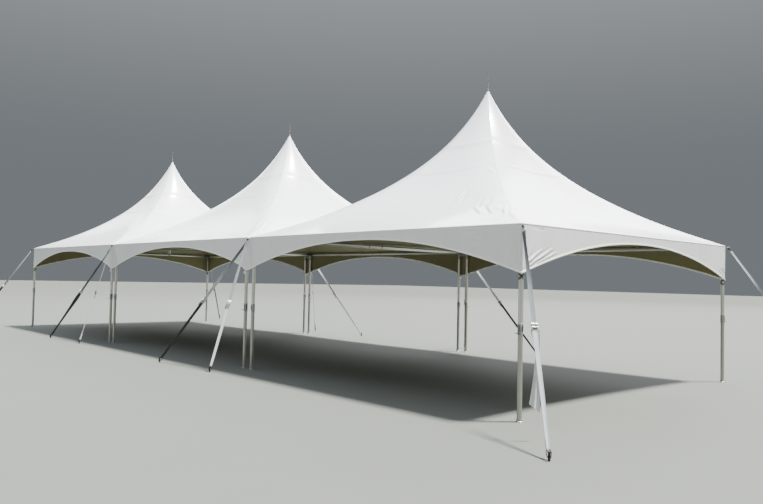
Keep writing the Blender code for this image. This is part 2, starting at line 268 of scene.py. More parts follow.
@dataclass(frozen=True)
class Membrane(Finish):
    """Polyester scrim coated with PVC by knife, the cloth of the roofs."""

    clean: str
    dusty: str
    weld: str
    smooth: float
    rough: float
    lacquer: float
    thread_mm: float = 9.0
    cloud_mm: float = 1400.0
    streak_mm: float = 160.0

    def look(self, tree: NodeTree) -> dict:
        """A soft plastic cloth with faint clouds of dust, rain streaks and weld lines.

        Args:
            tree: The material's nodes.

        Returns:
            The shader's inputs.
        """
        place = add_node(tree, "TexCoord").outputs["Object"]
        grain = add_node(tree, "Attribute", attribute_name="grain").outputs["Vector"]
        weld, way_down = add_node(tree, "SeparateXYZ", {0: grain}).outputs[:2]
        clouds = {"Vector": place, "Scale": per_pattern(self.cloud_mm), "Detail": 5.0}
        cloud = add_node(tree, "TexNoise", clouds)
        squeezed = add_node(tree, "Mapping", {"Vector": place, "Scale": (1.0, 1.0, 0.12)})
        scale = per_pattern(self.streak_mm)
        streak = add_node(tree, "TexNoise", {"Vector": squeezed, "Scale": scale, "Detail": 4.0})
        ends = {"From Min": 0.55, "From Max": 1.0, "To Min": 0.15}
        low = add_node(tree, "MapRange", {"Value": way_down, **ends}, interpolation_type="SMOOTHSTEP")
        patch = add_node(tree, "Math", {0: cloud, 1: streak}, operation="MULTIPLY")
        dust = add_node(tree, "Math", {0: patch, 1: low}, operation="MULTIPLY")
        tones = {6: hex_to_linear(self.clean), 7: hex_to_linear(self.dusty)}
        worn = add_node(tree, "Mix", {0: dust, **tones}, data_type="RGBA").outputs[2]
        welded = add_node(tree, "Mix", {0: weld, 6: worn, 7: hex_to_linear(self.weld)}, data_type="RGBA")
        gloss = add_node(tree, "MapRange", {"Value": cloud, "To Min": self.smooth, "To Max": self.rough})
        # The scrim's threads lie about 1 mm apart; they are drawn coarser to show close up.
        weave = 0.0
        for axis in "XYZ":
            threads = {"Vector": place, "Scale": per_pattern(self.thread_mm) / 20, "Distortion": 0.3}
            wave = add_node(tree, "TexWave", threads, bands_direction=axis).outputs["Fac"]
            weave = add_node(tree, "Math", {0: weave, 1: wave}, operation="ADD")
        # Calendered PVC is smooth and slightly waxy: highlights spread wide but stay clear.
        return {
            "Base Color": welded.outputs[2],
            "Roughness": gloss,
            "Normal": add_node(tree, "Bump", {"Strength": 0.12, "Distance": 0.0002, "Height": weave}),
            "IOR": 1.53,
            "Coat Weight": self.lacquer,
            "Coat Roughness": 0.13,
            "Coat IOR": 1.49,
        }


@dataclass(frozen=True)
class Metal(Finish):
    """A metal whose texture follows from how it was made."""

    light: str
    dark: str
    smooth: float
    rough: float
    texture: Texture
    size_mm: float
    relief_mm: float
    metallic: float = 1.0

    def pattern(self, tree: NodeTree) -> NodeSocket:
        """Builds the pattern that tints, dulls and roughens the metal.

        Args:
            tree: The material's nodes.

        Returns:
            The pattern's strength, from 0 to 1.
        """
        place = add_node(tree, "TexCoord").outputs["Object"]
        grain = add_node(tree, "Attribute", attribute_name="grain").outputs["Vector"]
        scale = per_pattern(self.size_mm)
        if self.texture is Texture.DRAWN:
            stretched = add_node(tree, "Mapping", {"Vector": grain, "Scale": (1.0, 1.0, 0.6)})
            lines = {"Vector": stretched, "Scale": scale * PLAN.tube_radius, "Detail": 6.0, "Roughness": 0.7}
            return add_node(tree, "TexNoise", lines).outputs[0]
        if self.texture is Texture.SPANGLED:
            cells = add_node(tree, "TexVoronoi", {"Vector": place, "Scale": scale}).outputs["Color"]
            return add_node(tree, "SeparateColor", {0: cells}).outputs[0]
        if self.texture is Texture.STRANDED:
            x, y, metres = add_node(tree, "SeparateXYZ", {0: grain}).outputs
            angle = add_node(tree, "Math", {0: y, 1: x}, operation="ARCTAN2")
            # One strand turns round the rope in about 65 mm, and six lie side by side.
            turns = {0: metres, 1: math.tau * scale, 2: angle}
            twist = add_node(tree, "Math", turns, operation="MULTIPLY_ADD")
            strands = add_node(tree, "Math", {0: twist, 1: 6.0}, operation="MULTIPLY")
            wave = add_node(tree, "Math", {0: strands}, operation="SINE")
            return add_node(tree, "MapRange", {"Value": wave, "From Min": -1.0}).outputs[0]
        grit = add_node(tree, "TexNoise", {"Vector": place, "Scale": scale, "Detail": 8.0, "Roughness": 0.65})
        if self.texture is Texture.CAST:
            return grit.outputs[0]
        ends = {"From Min": 0.42, "From Max": 0.6}
        return add_node(tree, "MapRange", {"Value": grit, **ends}, interpolation_type="SMOOTHSTEP").outputs[0]

    def look(self, tree: NodeTree) -> dict:
        """The metal with its texture in colour, gloss and relief.

        Args:
            tree: The material's nodes.

        Returns:
            The shader's inputs.
        """
        pattern = self.pattern(tree)
        tones = {6: hex_to_linear(self.dark), 7: hex_to_linear(self.light)}
        relief = {"Strength": 0.5, "Distance": self.relief_mm * MILLIMETRE, "Height": pattern}
        return {
            "Base Color": add_node(tree, "Mix", {0: pattern, **tones}, data_type="RGBA").outputs[2],
            "Roughness": add_node(
                tree, "MapRange", {"Value": pattern, "To Min": self.rough, "To Max": self.smooth}
            ),
            "Normal": add_node(tree, "Bump", relief),
            "Metallic": self.metallic,
        }


@dataclass(frozen=True)
class Webbing(Finish):
    """Woven polyester band."""

    light: str
    dark: str
    soil: str
    yarn_mm: float = 7.0
    edge_mm: float = 21.0
    stain_mm: float = 240.0
    # How strong the painted shade over the upper end is, and its colour.
    grime: float = 0.0
    oil: str = "#33373E"

    def look(self, tree: NodeTree) -> dict:
        """A matt band with slanting yarns, two darker lines near its edges, some soil and painted shade over
        its upper end.

        Args:
            tree: The material's nodes.

        Returns:
            The shader's inputs.
        """
        grain = add_node(tree, "Attribute", attribute_name="grain").outputs["Vector"]
        beside, _, metres = add_node(tree, "SeparateXYZ", {0: grain}).outputs
        across = add_node(tree, "Math", {0: beside}, operation="ABSOLUTE")
        # Yarns are about 1.5 mm wide and meet in a herringbone; they are drawn 7 mm wide.
        slant = add_node(tree, "Math", {0: across, 1: metres}, operation="ADD")
        turns = {0: slant, 1: math.tau * per_pattern(self.yarn_mm)}
        turned_by = add_node(tree, "Math", turns, operation="MULTIPLY")
        yarn = add_node(tree, "Math", {0: turned_by}, operation="SINE")
        edge = {0: across, 1: self.edge_mm * MILLIMETRE, 2: 0.0012}
        line = add_node(tree, "Math", edge, operation="COMPARE")
        weave = add_node(tree, "MapRange", {"Value": yarn, "From Min": -1.0})
        shaded = add_node(tree, "Math", {0: weave, 1: line}, operation="SUBTRACT", use_clamp=True)
        tones = {6: hex_to_linear(self.dark), 7: hex_to_linear(self.light)}
        cloth = add_node(tree, "Mix", {0: shaded, **tones}, data_type="RGBA").outputs[2]
        stains = {"Vector": grain, "Scale": per_pattern(self.stain_mm), "Detail": 5.0}
        stain = add_node(tree, "TexNoise", stains)
        ends = {"From Min": 0.5, "From Max": 0.75, "To Max": 0.45}
        soiled = add_node(tree, "MapRange", {"Value": stain, **ends}, interpolation_type="SMOOTHSTEP")
        colour = add_node(tree, "Mix", {0: soiled, 6: cloth, 7: hex_to_linear(self.soil)}, data_type="RGBA")
        # Painted shade darkens the band's first half metre below the fittings.
        ends = {"From Min": 0.40, "From Max": 1.15, "To Min": self.grime, "To Max": 0.0}
        painted_shade = add_node(tree, "MapRange", {"Value": metres, **ends}, interpolation_type="SMOOTHSTEP")
        tones = {6: colour.outputs[2], 7: hex_to_linear(self.oil)}
        # Spun yarn scatters light along its fuzz, so the band is matt with a faint sheen.
        return {
            "Base Color": add_node(tree, "Mix", {0: painted_shade, **tones}, data_type="RGBA").outputs[2],
            "Normal": add_node(tree, "Bump", {"Strength": 0.4, "Distance": 0.0004, "Height": weave}),
            "Roughness": 0.78,
            "IOR": 1.5,
            "Sheen Weight": 0.25,
            "Sheen Roughness": 0.5,
        }


@dataclass(frozen=True)
class Moulded(Finish):
    """Injection moulded plastic or a cast floor, with a fine even grit."""

    light: str
    dark: str
    roughness: float
    grit_mm: float
    ior: float

    def look(self, tree: NodeTree) -> dict:
        """An even surface with a faint cloudy tint and grit in its relief.

        Args:
            tree: The material's nodes.

        Returns:
            The shader's inputs.
        """
        place = add_node(tree, "TexCoord").outputs["Object"]
        grains = {"Vector": place, "Scale": per_pattern(self.grit_mm), "Detail": 6.0}
        grit = add_node(tree, "TexNoise", grains)
        tones = {6: hex_to_linear(self.dark), 7: hex_to_linear(self.light)}
        return {
            "Base Color": add_node(tree, "Mix", {0: grit, **tones}, data_type="RGBA").outputs[2],
            "Normal": add_node(tree, "Bump", {"Strength": 0.2, "Distance": 0.0003, "Height": grit}),
            "Roughness": self.roughness,
            "IOR": self.ior,
        }


class Wardrobe:
    """Every finish of the marquee, each made once."""

    def __init__(self) -> None:
        """Makes the materials."""
        # Weather side: lacquered PVC, a clean cool white that takes soft wide highlights.
        self.roof = Membrane(
            "pvc_coated_polyester_lacquered", "#F4F6F7", "#D9DAD6", "#EBEEEF", 0.28, 0.38, 0.6
        ).make()
        # Room side: the same cloth unlacquered, matt and dusty; its warm, dark tone is painted shade and
        # painted reflected light.
        self.lining = Membrane(
            "pvc_coated_polyester_matt_back", "#88835F", "#736E50", "#7A7657", 0.60, 0.75, 0.0
        ).make()
        # The hem's cover is PVC painted whiter than the roof, a painted highlight: a bright line under the
        # valance.
        self.hem = Membrane("pvc_hem_cover_welded", "#FFFFFA", "#F6F5EC", "#FFFFFA", 0.36, 0.46, 0.3).make()
        # Mill finish: pale grey with lengthwise drawing lines and a soft satin highlight.
        self.tube = Metal(
            "aluminium_6061_extruded_mill_finish", "#E6E6E0", "#C8C8C2", 0.32, 0.46, Texture.DRAWN, 2.5, 0.05
        ).make()
        # The lower tubes are duller, and their darker tone is painted shade.
        self.worn_tube = Metal(
            "aluminium_6061_extruded_scuffed", "#D2D1CB", "#9A9993", 0.36, 0.55, Texture.DRAWN, 3.0, 0.05
        ).make()
        # Sand cast and tumbled: duller and grainier than the tubes.
        self.casting = Metal(
            "aluminium_sand_cast_tumbled", "#BDBCB7", "#92918C", 0.42, 0.60, Texture.CAST, 4.0, 0.25
        ).make()
        # Hot dip zinc freezes in crystals, which catch the light one by one.
        self.zinc = Metal(
            "steel_hot_dip_galvanised", "#B9BBBB", "#84888A", 0.36, 0.55, Texture.SPANGLED, 9.0, 0.05
        ).make()
        # Bright zinc plate on pressed steel: clean, sharp highlights.
        self.plated = Metal(
            "steel_pressed_bright_zinc_plated", "#E6E5DE", "#B9B8B0", 0.22, 0.36, Texture.CAST, 14.0, 0.02
        ).make()
        # Galvanised wire rope: six strands with dark grease in the valleys.
        self.rope = Metal(
            "steel_wire_rope_stranded", "#A5A7A8", "#3F4042", 0.38, 0.60, Texture.STRANDED, 65.0, 1.0
        ).make()
        # Hammered stake heads: black scale worn through to brown rust.
        self.forged = Metal(
            "steel_forged_black_and_rusted", "#453B33", "#262625", 0.55, 0.75, Texture.FORGED, 16.0, 0.5, 0.6
        ).make()
        # Blackened small steel: shackles and pins.
        self.black_steel = Metal(
            "steel_forged_black_oxide", "#4A4B4D", "#2B2C2E", 0.40, 0.60, Texture.CAST, 6.0, 0.1
        ).make()
        # Band woven of grey yarn: matt and cool.
        self.strap = Webbing("polyester_webbing_woven_grey", "#A9AFB4", "#8A9096", "#7C7C76").make()
        # A darker copy of the band, painted shade, darkest over its upper end.
        self.oiled_strap = Webbing(
            "polyester_webbing_woven_grey_oiled", "#70777D", "#575D66", "#55554F", grime=1.0
        ).make()
        # A lighter copy of the band, painted light, with painted shade over its upper end.
        self.greased_strap = Webbing(
            "polyester_webbing_woven_grey_greased_end", "#CDD2D6", "#AEB4B9", "#93938D", grime=0.75
        ).make()
        # The same band dyed black, and one that sun and rain have bleached nearly white.
        self.dark_strap = Webbing("polyester_webbing_woven_black", "#2B2B2E", "#1C1C1F", "#2C2A26").make()
        self.pale_strap = Webbing("polyester_webbing_bleached", "#E9EDEE", "#C6CCCF", "#BDBBAF").make()
        # Narrow flat tape: coarse, grey brown and dull.
        self.tie = Webbing("polypropylene_tape_woven", "#6A6963", "#3C3C39", "#3A3833", 5.0, 9.0).make()
        # Moulded clips: smooth waxy white and a slightly grained black.
        self.clip = Moulded("acetal_moulded_white", "#F2F2EC", "#DEDED6", 0.38, 8.0, 1.48).make()
        self.grip = Moulded("nylon_moulded_black", "#2C2C2D", "#1D1D1E", 0.45, 5.0, 1.53).make()


def new_object(name: str, data: ID) -> Object:
    """Adds an object to the scene.

    Args:
        name: Its name.
        data: Its mesh, camera or light.

    Returns:
        The object.
    """
    thing = bpy.data.objects.new(name, data)
    bpy.context.scene.collection.objects.link(thing)
    return thing


def triangles(faces: Sequence[Sequence[int]]) -> np.ndarray:
    """Point numbers of the triangles that fan out over each face."""
    return np.array([[face[0], face[k], face[k + 1]] for face in faces for k in range(1, len(face) - 1)])


def normals(points: np.ndarray, faces: Sequence[Sequence[int]]) -> np.ndarray:
    """Finds the unit normals of a sheet.

    Args:
        points: Its points.
        faces: Point numbers of its faces.

    Returns:
        One normal a point.
    """
    fan = triangles(faces)
    crosses = np.cross(points[fan[:, 1]] - points[fan[:, 0]], points[fan[:, 2]] - points[fan[:, 0]])
    total = np.zeros_like(points)
    for corner in range(3):
        np.add.at(total, fan[:, corner], crosses)
    return total / np.maximum(np.linalg.norm(total, axis=1, keepdims=True), 1e-12)


@dataclass
class Shape:
    """Points and faces of a piece, with the grain of each point and each face's finish number."""

    points: np.ndarray
    faces: list[list[int]]
    grain: np.ndarray
    coats: list[int]

    @classmethod
    def shell(cls, points: np.ndarray, faces: list[list[int]], grain: np.ndarray) -> "Shape":
        """Makes a closed shell with its faces turned outwards.

        Args:
            points: Its points.
            faces: Point numbers of each face.
            grain: Grain of each point.

        Returns:
            The shell, all in its first finish.
        """
        first, second, third = np.moveaxis(points[triangles(faces)], 1, 0)
        if (first * np.cross(second, third)).sum() < 0:
            faces = [face[::-1] for face in faces]
        return cls(points, faces, grain, [0] * len(faces))

    @classmethod
    def skins(
        cls, outer: np.ndarray, inner: np.ndarray, faces: list[list[int]], grain: np.ndarray
    ) -> "Shape":
        """Closes two skins of a sheet along their open edges.

        Args:
            outer: Points of the outer skin.
            inner: Points of the inner skin, in the same order.
            faces: Faces of the outer skin.
            grain: Grain of the points of either skin.

        Returns:
            The shell, with the inner skin in its second finish.
        """
        count = len(outer)
        edges = np.array([(face[k - 1], face[k]) for face in faces for k in range(len(face))], np.int64)
        there, back = edges[:, 0] * count + edges[:, 1], edges[:, 1] * count + edges[:, 0]
        rim = [[b, a, a + count, b + count] for a, b in edges[~np.isin(there, back)].tolist()]
        under = [[number + count for number in face[::-1]] for face in faces]
        coats = [0] * len(faces) + [1] * len(faces) + [0] * len(rim)
        return cls(np.concatenate([outer, inner]), faces + under + rim, np.concatenate([grain, grain]), coats)

    @classmethod
    def joined(cls, shapes: Sequence["Shape"]) -> "Shape":
        """Puts shapes into one.

        Args:
            shapes: The shapes.

        Returns:
            One shape with all their points and faces.
        """
        faces: list[list[int]] = []
        coats: list[int] = []
        first = 0
        for shape in shapes:
            faces += [[first + point for point in face] for face in shape.faces]
            coats += shape.coats
            first += len(shape.points)
        points = np.concatenate([shape.points for shape in shapes])
        return cls(points, faces, np.concatenate([shape.grain for shape in shapes]), coats)

    def placed(self, matrix: Matrix) -> "Shape":
        """A copy moved by a matrix that doesn't mirror."""
        turn = np.array(matrix, float)
        return Shape(self.points @ turn[:3, :3].T + turn[:3, 3], self.faces, self.grain, self.coats)

    def moved(self, x: float = 0.0, y: float = 0.0, z: float = 0.0) -> "Shape":
        """A copy moved without turning."""
        return self.placed(Matrix.Translation((x, y, z)))

    def coated(self, coat: int) -> "Shape":
        """A copy whose faces all take one finish, by its number."""
        return Shape(self.points, self.faces, self.grain, [coat] * len(self.faces))

    def piece(
        self, name: str, finishes: Sequence[Material], slot: Slot, node: str | None = None,
        crease: float = 35.0,
    ) -> Object:
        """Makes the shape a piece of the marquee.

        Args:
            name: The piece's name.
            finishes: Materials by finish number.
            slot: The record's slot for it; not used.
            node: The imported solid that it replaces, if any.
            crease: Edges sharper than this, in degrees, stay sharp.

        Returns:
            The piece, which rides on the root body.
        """
        mesh = bpy.data.meshes.new(name)
        mesh.from_pydata(self.points.tolist(), [], self.faces)
        for finish in finishes:
            mesh.materials.append(finish)
        mesh.polygons.foreach_set("material_index", self.coats)
        grain = mesh.attributes.new("grain", "FLOAT_VECTOR", "POINT")
        grain.data.foreach_set("vector", self.grain.astype(np.float32).ravel())
        mesh.shade_smooth()
        mesh.set_sharp_from_angle(angle=math.radians(crease))
        mesh.update()
        piece = new_object(name, mesh)
        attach(piece, "root")
        if node:
            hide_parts(node)
        return piece


def quads(numbers: np.ndarray) -> list[list[int]]:
    """Faces between the rows and columns of a grid of point numbers."""
    corners = [numbers[:-1, :-1], numbers[:-1, 1:], numbers[1:, 1:], numbers[1:, :-1]]
    return np.stack(corners, -1).reshape(-1, 4).tolist()


def tube_faces(rings: int, size: int, closed: bool = False) -> list[list[int]]:
    """Faces of rings that follow each other.

    Args:
        rings: Number of rings.
        size: Points of each ring.
        closed: Whether the last ring joins the first; if not, both are capped.

    Returns:
        Point numbers of each face.
    """
    numbers = np.pad(np.arange(rings * size).reshape(rings, size), ((0, int(closed)), (0, 1)), "wrap")
    if closed:
        return quads(numbers)
    last = (rings - 1) * size
    return [*quads(numbers), list(range(size))[::-1], list(range(last, last + size))]


def steps_round(count: int) -> np.ndarray:
    """Angles at equal steps round a circle."""
    return np.linspace(0, math.tau, count, endpoint=False)


def circle(radius: float, sides: int) -> np.ndarray:
    """Outline of a round bar, anticlockwise."""
    angle = steps_round(sides)
    return radius * np.stack([np.cos(angle), np.sin(angle)], -1)


def round_rectangle(width: float, height: float, radius: float, steps: int = 5) -> np.ndarray:
    """Outline of a rectangle with round corners.

    Args:
        width: Size in the first direction.
        height: Size in the second direction.
        radius: The corners' radius.
        steps: Points of each corner.

    Returns:
        Points, anticlockwise.
    """
    points = []
    for quarter, (x_sign, y_sign) in enumerate(((1, 1), (-1, 1), (-1, -1), (1, -1))):
        centre = np.array([x_sign * (width / 2 - radius), y_sign * (height / 2 - radius)])
        for angle in math.pi / 2 * (quarter + np.arange(steps) / (steps - 1)):
            points.append(centre + radius * np.array([math.cos(angle), math.sin(angle)]))
    return np.array(points)


def ribbon(width: float, thickness: float, curl: float = 0.0, steps: int = 12) -> np.ndarray:
    """Outline of a band, flat or curled about its length.

    Args:
        width: Its width.
        thickness: Its thickness.
        curl: Angle through which it bends from edge to edge.
        steps: Points across it.

    Returns:
        Points, anticlockwise, with the hollow on the lower side.
    """
    across = np.linspace(-width / 2, width / 2, steps)
    level = np.full(steps, thickness / 2)
    flat = np.concatenate([np.stack([across, -level], -1), np.stack([across[::-1], level], -1)])
    if curl < 0.01:
        return flat
    radius = width / curl
    angle = flat[:, 0] / radius
    distance = radius + flat[:, 1]
    return np.stack([distance * np.sin(angle), distance * np.cos(angle) - radius], -1)


def bend(start: np.ndarray, corner: np.ndarray, end: np.ndarray, steps: int) -> list[np.ndarray]:
    """Rows of points that round a corner between a start row and an end row."""
    shares = np.arange(1, steps + 1) / steps
    return [(1 - s) ** 2 * start + 2 * s * (1 - s) * corner + s**2 * end for s in shares]


def swept(
    path: np.ndarray, across: np.ndarray | Vector, outline: np.ndarray, marks: np.ndarray | None = None,
    closed: bool = False,
) -> Shape:
    """Carries an outline along a path.

    Args:
        path: Points of the path.
        across: Direction of the outline's first axis, one for all points or one each.
        outline: The outline, one for all points or one each.
        marks: Grain across the outline; the way round it if left out.
        closed: Whether the path returns to its start.

    Returns:
        The closed shell.
    """
    tangent = np.roll(path, -1, 0) - np.roll(path, 1, 0) if closed else np.gradient(path, axis=0)
    tangent /= np.linalg.norm(tangent, axis=1, keepdims=True)
    side = np.broadcast_to(np.asarray(across, float), path.shape)
    side = side - (side * tangent).sum(1, keepdims=True) * tangent
    side = side / np.linalg.norm(side, axis=1, keepdims=True)
    normal = np.cross(tangent, side)
    rings = np.broadcast_to(outline, (len(path), *outline.shape[-2:]))
    points = path[:, None] + rings[..., :1] * side[:, None] + rings[..., 1:] * normal[:, None]
    if marks is None:
        marks = rings[0] / np.linalg.norm(rings[0], axis=1, keepdims=True)
    along = np.cumsum([0.0, *np.linalg.norm(np.diff(path, axis=0), axis=1)])
    grain = np.zeros(points.shape)
    grain[..., :2] = marks
    grain[..., 2] = along[:, None]
    faces = tube_faces(*points.shape[:2], closed)
    return Shape.shell(points.reshape(-1, 3), faces, grain.reshape(-1, 3))


def turned(profile: Sequence[tuple[float, float]], steps: int = 40) -> Shape:
    """Turns a profile about Z.

    Args:
        profile: Radius and height of each ring, from below.
        steps: Points of each ring.

    Returns:
        The closed shell with flat ends.
    """
    rings = np.array([[(x, y, height) for x, y in circle(1.0, steps)] for _, height in profile])
    points = rings * [[(radius, radius, 1.0)] for radius, _ in profile]
    return Shape.shell(points.reshape(-1, 3), tube_faces(len(profile), steps), rings.reshape(-1, 3))


def mirrored(half: Sequence[tuple[float, float]], low: float, high: float) -> list[tuple[float, float]]:
    """A profile from the radius of one end's rings and their distance from that end."""
    upper = [(radius, high - off) for radius, off in half[::-1]]
    return [(radius, low + off) for radius, off in half] + upper


def prism(outline: np.ndarray, thickness: float, bevel: float) -> Shape:
    """A plate with a bevelled edge, level in XY with its middle plane at 0.

    Args:
        outline: Its outline, anticlockwise.
        thickness: Its thickness.
        bevel: Width of the bevel.

    Returns:
        The closed shell.
    """
    run = np.roll(outline, -1, 0) - np.roll(outline, 1, 0)
    inwards = np.stack([-run[:, 1], run[:, 0]], -1) / np.linalg.norm(run, axis=1, keepdims=True)
    small = outline + bevel * inwards
    half = thickness / 2
    rings = [(small, -half), (outline, bevel - half), (outline, half - bevel), (small, half)]
    points = np.concatenate([np.column_stack([ring, np.full(len(ring), height)]) for ring, height in rings])
    return Shape.shell(points, tube_faces(len(rings), len(outline)), points)


def pierced_plate(hole: float, edge: np.ndarray, thickness: float, bevel: float) -> Shape:
    """A plate with a round hole at its origin, level in XY.

    Args:
        hole: Radius of the hole.
        edge: Distance to the outer edge at equal steps of angle.
        thickness: Its thickness.
        bevel: Width of the bevels.

    Returns:
        The closed shell.
    """
    half = thickness / 2
    lip, wall = hole + bevel + 0 * edge, hole + 0 * edge
    columns = [
        (lip, -half), (edge - bevel, -half), (edge, bevel - half), (edge, half - bevel),
        (edge - bevel, half), (lip, half), (wall, half - bevel), (wall, bevel - half),
    ]
    turns = enumerate(circle(1.0, len(edge)))
    grid = [[(far[k] * x, far[k] * y, height) for far, height in columns] for k, (x, y) in turns]
    points = np.array(grid).reshape(-1, 3)
    return Shape.shell(points, tube_faces(len(edge), len(columns), True), points)


def axes_at(origin: Vector, x_axis: Vector, y_axis: Vector) -> Matrix:
    """A matrix that puts a shape's X and Y along two directions at right angles."""
    first, second = x_axis.normalized(), y_axis.normalized()
    return Matrix.Translation(origin) @ Matrix((first, second, first.cross(second))).transposed().to_4x4()


def aimed(origin: Vector, direction: Vector) -> Matrix:
    """A matrix that points a shape's Z along a direction."""
    return Matrix.Translation(origin) @ UP.rotation_difference(direction).to_matrix().to_4x4()


def bolt(radius: float, height: float) -> Shape:
    """A hexagon bolt head on a washer, standing on XY.

    Args:
        radius: The head's radius.
        height: Its height, with the washer.

    Returns:
        The bolt.
    """
    washer = [(radius * 1.5, 0.0), (radius * 1.5, height * 0.2), (radius * 1.4, height * 0.3)]
    head = [(radius, height * 0.2), (radius, height * 0.85), (radius * 0.82, height)]
    return Shape.joined([turned(washer, 20), turned(head, 6)])


def bar(start: Vector, end: Vector, radius: float, sides: int = 20) -> Shape:
    """Makes a round bar with eased ends.

    Args:
        start: Centre of one end.
        end: Centre of the other.
        radius: Its radius.
        sides: Points of each ring.

    Returns:
        The bar.
    """
    length = (end - start).length
    ease = min(radius * 0.25, length * 0.2)
    return turned(mirrored([(radius - ease, 0.0), (radius, ease)], 0.0, length), sides).placed(
        aimed(start, end - start)
    )


@dataclass
class Studio:
    """Camera at the photograph's place, soft lights and a pale floor."""

    place: tuple[float, float, float] = (14.602, -10.274, 1.711)
    yaw: float = -0.8260
    pitch: float = 0.0376
    roll: float = 0.0214
    lens: float = 33.86
    sensor: float = 36.0
    view_end: float = 500.0
    floor_size: float = 260.0
    low_tone: str = "#73787C"
    high_tone: str = "#F4F8FF"
    haze_rise: float = 0.12
    key_spread: float = 7.0

    def camera(self) -> None:
        """Sets the camera where the photograph was taken."""
        sine, cosine = math.sin(self.pitch), math.cos(self.pitch)
        forward = Vector((math.sin(self.yaw) * cosine, math.cos(self.yaw) * cosine, sine))
        right = forward.cross(UP).normalized()
        turn = Matrix.Rotation(-self.roll, 3, forward)
        data = bpy.data.cameras.new("camera")
        data.lens = self.lens
        data.sensor_width = self.sensor
        data.clip_end = self.view_end
        thing = new_object("camera", data)
        thing.matrix_world = axes_at(Vector(self.place), turn @ right, turn @ right.cross(forward))
        bpy.context.scene.camera = thing

    def lamp(self, name: str, kind: str, way: Vector, power: float, tint: str) -> Object:
        """Adds a light.

        Args:
            name: Its name.
            kind: Its type.
            way: The direction that it shines in.
            power: Watts, or watts a square metre from a sun.
            tint: Its colour.

        Returns:
            The light, at the origin.
        """
        data = bpy.data.lights.new(name, kind)
        data.energy = power
        data.color = hex_to_linear(tint)[:3]
        thing = new_object(name, data)
        thing.rotation_euler = way.to_track_quat("-Z", "Y").to_euler()
        return thing

    def sky(self) -> None:
        """Fills the room with plain soft light, brighter overhead than near the floor."""
        world = bpy.data.worlds.new("room")
        bpy.context.scene.world = world
        world.use_nodes = True
        tree = world.node_tree
        place = add_node(tree, "TexCoord").outputs["Generated"]
        way_up = add_node(tree, "SeparateXYZ", {0: place}).outputs["Z"]
        ends = {"Value": way_up, "From Min": self.haze_rise}
        rise = add_node(tree, "MapRange", ends, interpolation_type="SMOOTHSTEP")
        tones = {6: hex_to_linear(self.low_tone), 7: hex_to_linear(self.high_tone)}
        tone = add_node(tree, "Mix", {0: rise, **tones}, data_type="RGBA")
        tree.links.new(tone.outputs[2], tree.nodes["Background"].inputs["Color"])

    def floor(self) -> None:
        """Lays the plain pale floor."""
        half = self.floor_size / 2
        mesh = bpy.data.meshes.new("floor")
        corners = [(-half, -half, 0), (half, -half, 0), (half, half, 0), (-half, half, 0)]
        mesh.from_pydata(corners, [], [[0, 1, 2, 3]])
        # Painted screed: flat and matt, with clouds so faint that it stays plain.
        mesh.materials.append(Moulded("screed_painted_pale", "#62655F", "#5E615B", 0.85, 900.0, 1.5).make())
        new_object("floor", mesh)

    def build(self) -> None:
        """Sets up the whole studio."""
        self.camera()
        self.sky()
        # The key comes from high behind the right end: it whitens the end faces and leaves the
        # front valances in shade, and its mirror image draws the streak down each near hip.
        key = self.lamp("key_light", "SUN", -Vector((0.21, 0.25, 0.945)), 16.5, "#FFFEFA")
        key.data.angle = math.radians(self.key_spread)
        # Each soft light has its place, the point that it faces, its size, watts and colour. The
        # second is low behind the left, where the near end faces mirror it as a wide sheen.
        for name, place, aim, size, power, tint in (
            ("top_light", (-5, -1, 26), (-3, 0, 0), (34, 30), 5500, "#DCE9FF"),
            ("back_fill", (-18, 44, 32), (8, 0, 3.5), (40, 26), 26000, "#F8FAFF"),
            ("left_fill", (-34, 7, 17), (-6, -1, 4), (14, 8), 1700, "#F4F8FF"),
            ("left_strip", (-4, -26, 4.5), (4, -3, 1.2), (2.5, 7), 100, "#FFFFFF"),
        ):
            lamp = self.lamp(name, "AREA", Vector(aim) - Vector(place), power, tint)
            lamp.location = place
            lamp.data.shape = "RECTANGLE"
            lamp.data.size, lamp.data.size_y = size
        self.floor()


@dataclass(frozen=True)
class Crease:
    """A fold in the membrane.

    On a roof, zone -1, its ends are X and Y from the bay's centre. On a valance the zone is the
    side's number, and its ends are metres along the side and above the eave.
    """

    zone: int
    start: tuple[float, float]
    end: tuple[float, float]
    breadth: float
    height: float

    def within(self, places: np.ndarray) -> np.ndarray:
        """Numbers of the points that lie in the fold's zone, from zone and coordinates a point."""
        return np.flatnonzero(np.abs(places[:, 0] - self.zone) < 0.01)

    def near(self, spots: np.ndarray, margin: float) -> np.ndarray:
        """Which points lie on the fold or beside it.

        Args:
            spots: Two coordinates a point, in its zone.
            margin: Metres beside the fold.

        Returns:
            Whether each point does.
        """
        start = np.array(self.start)
        run = np.array(self.end) - start
        share = np.clip((spots - start) @ run / (run @ run), 0, 1)
        distance = np.linalg.norm(spots - start - share[:, None] * run, axis=1)
        return distance < 3 * self.breadth + margin

    def rise(self, spots: np.ndarray) -> np.ndarray:
        """How far the fold lifts the cloth, with a hollow on either side of its crest.

        Args:
            spots: Two coordinates a point, in its zone.

        Returns:
            Metres outwards at each point.
        """
        start = np.array(self.start)
        run = np.array(self.end) - start
        length = np.linalg.norm(run)
        run = run / length
        offset = spots - start
        distance = offset @ np.array([-run[1], run[0]]) / self.breadth
        swell = np.sqrt(np.sin(np.pi * np.clip(offset @ run / length, 0, 1)))
        crest = np.exp(-(distance**2)) - 0.45 * np.exp(-((np.abs(distance) - 1.8) ** 2))
        return self.height * swell * crest


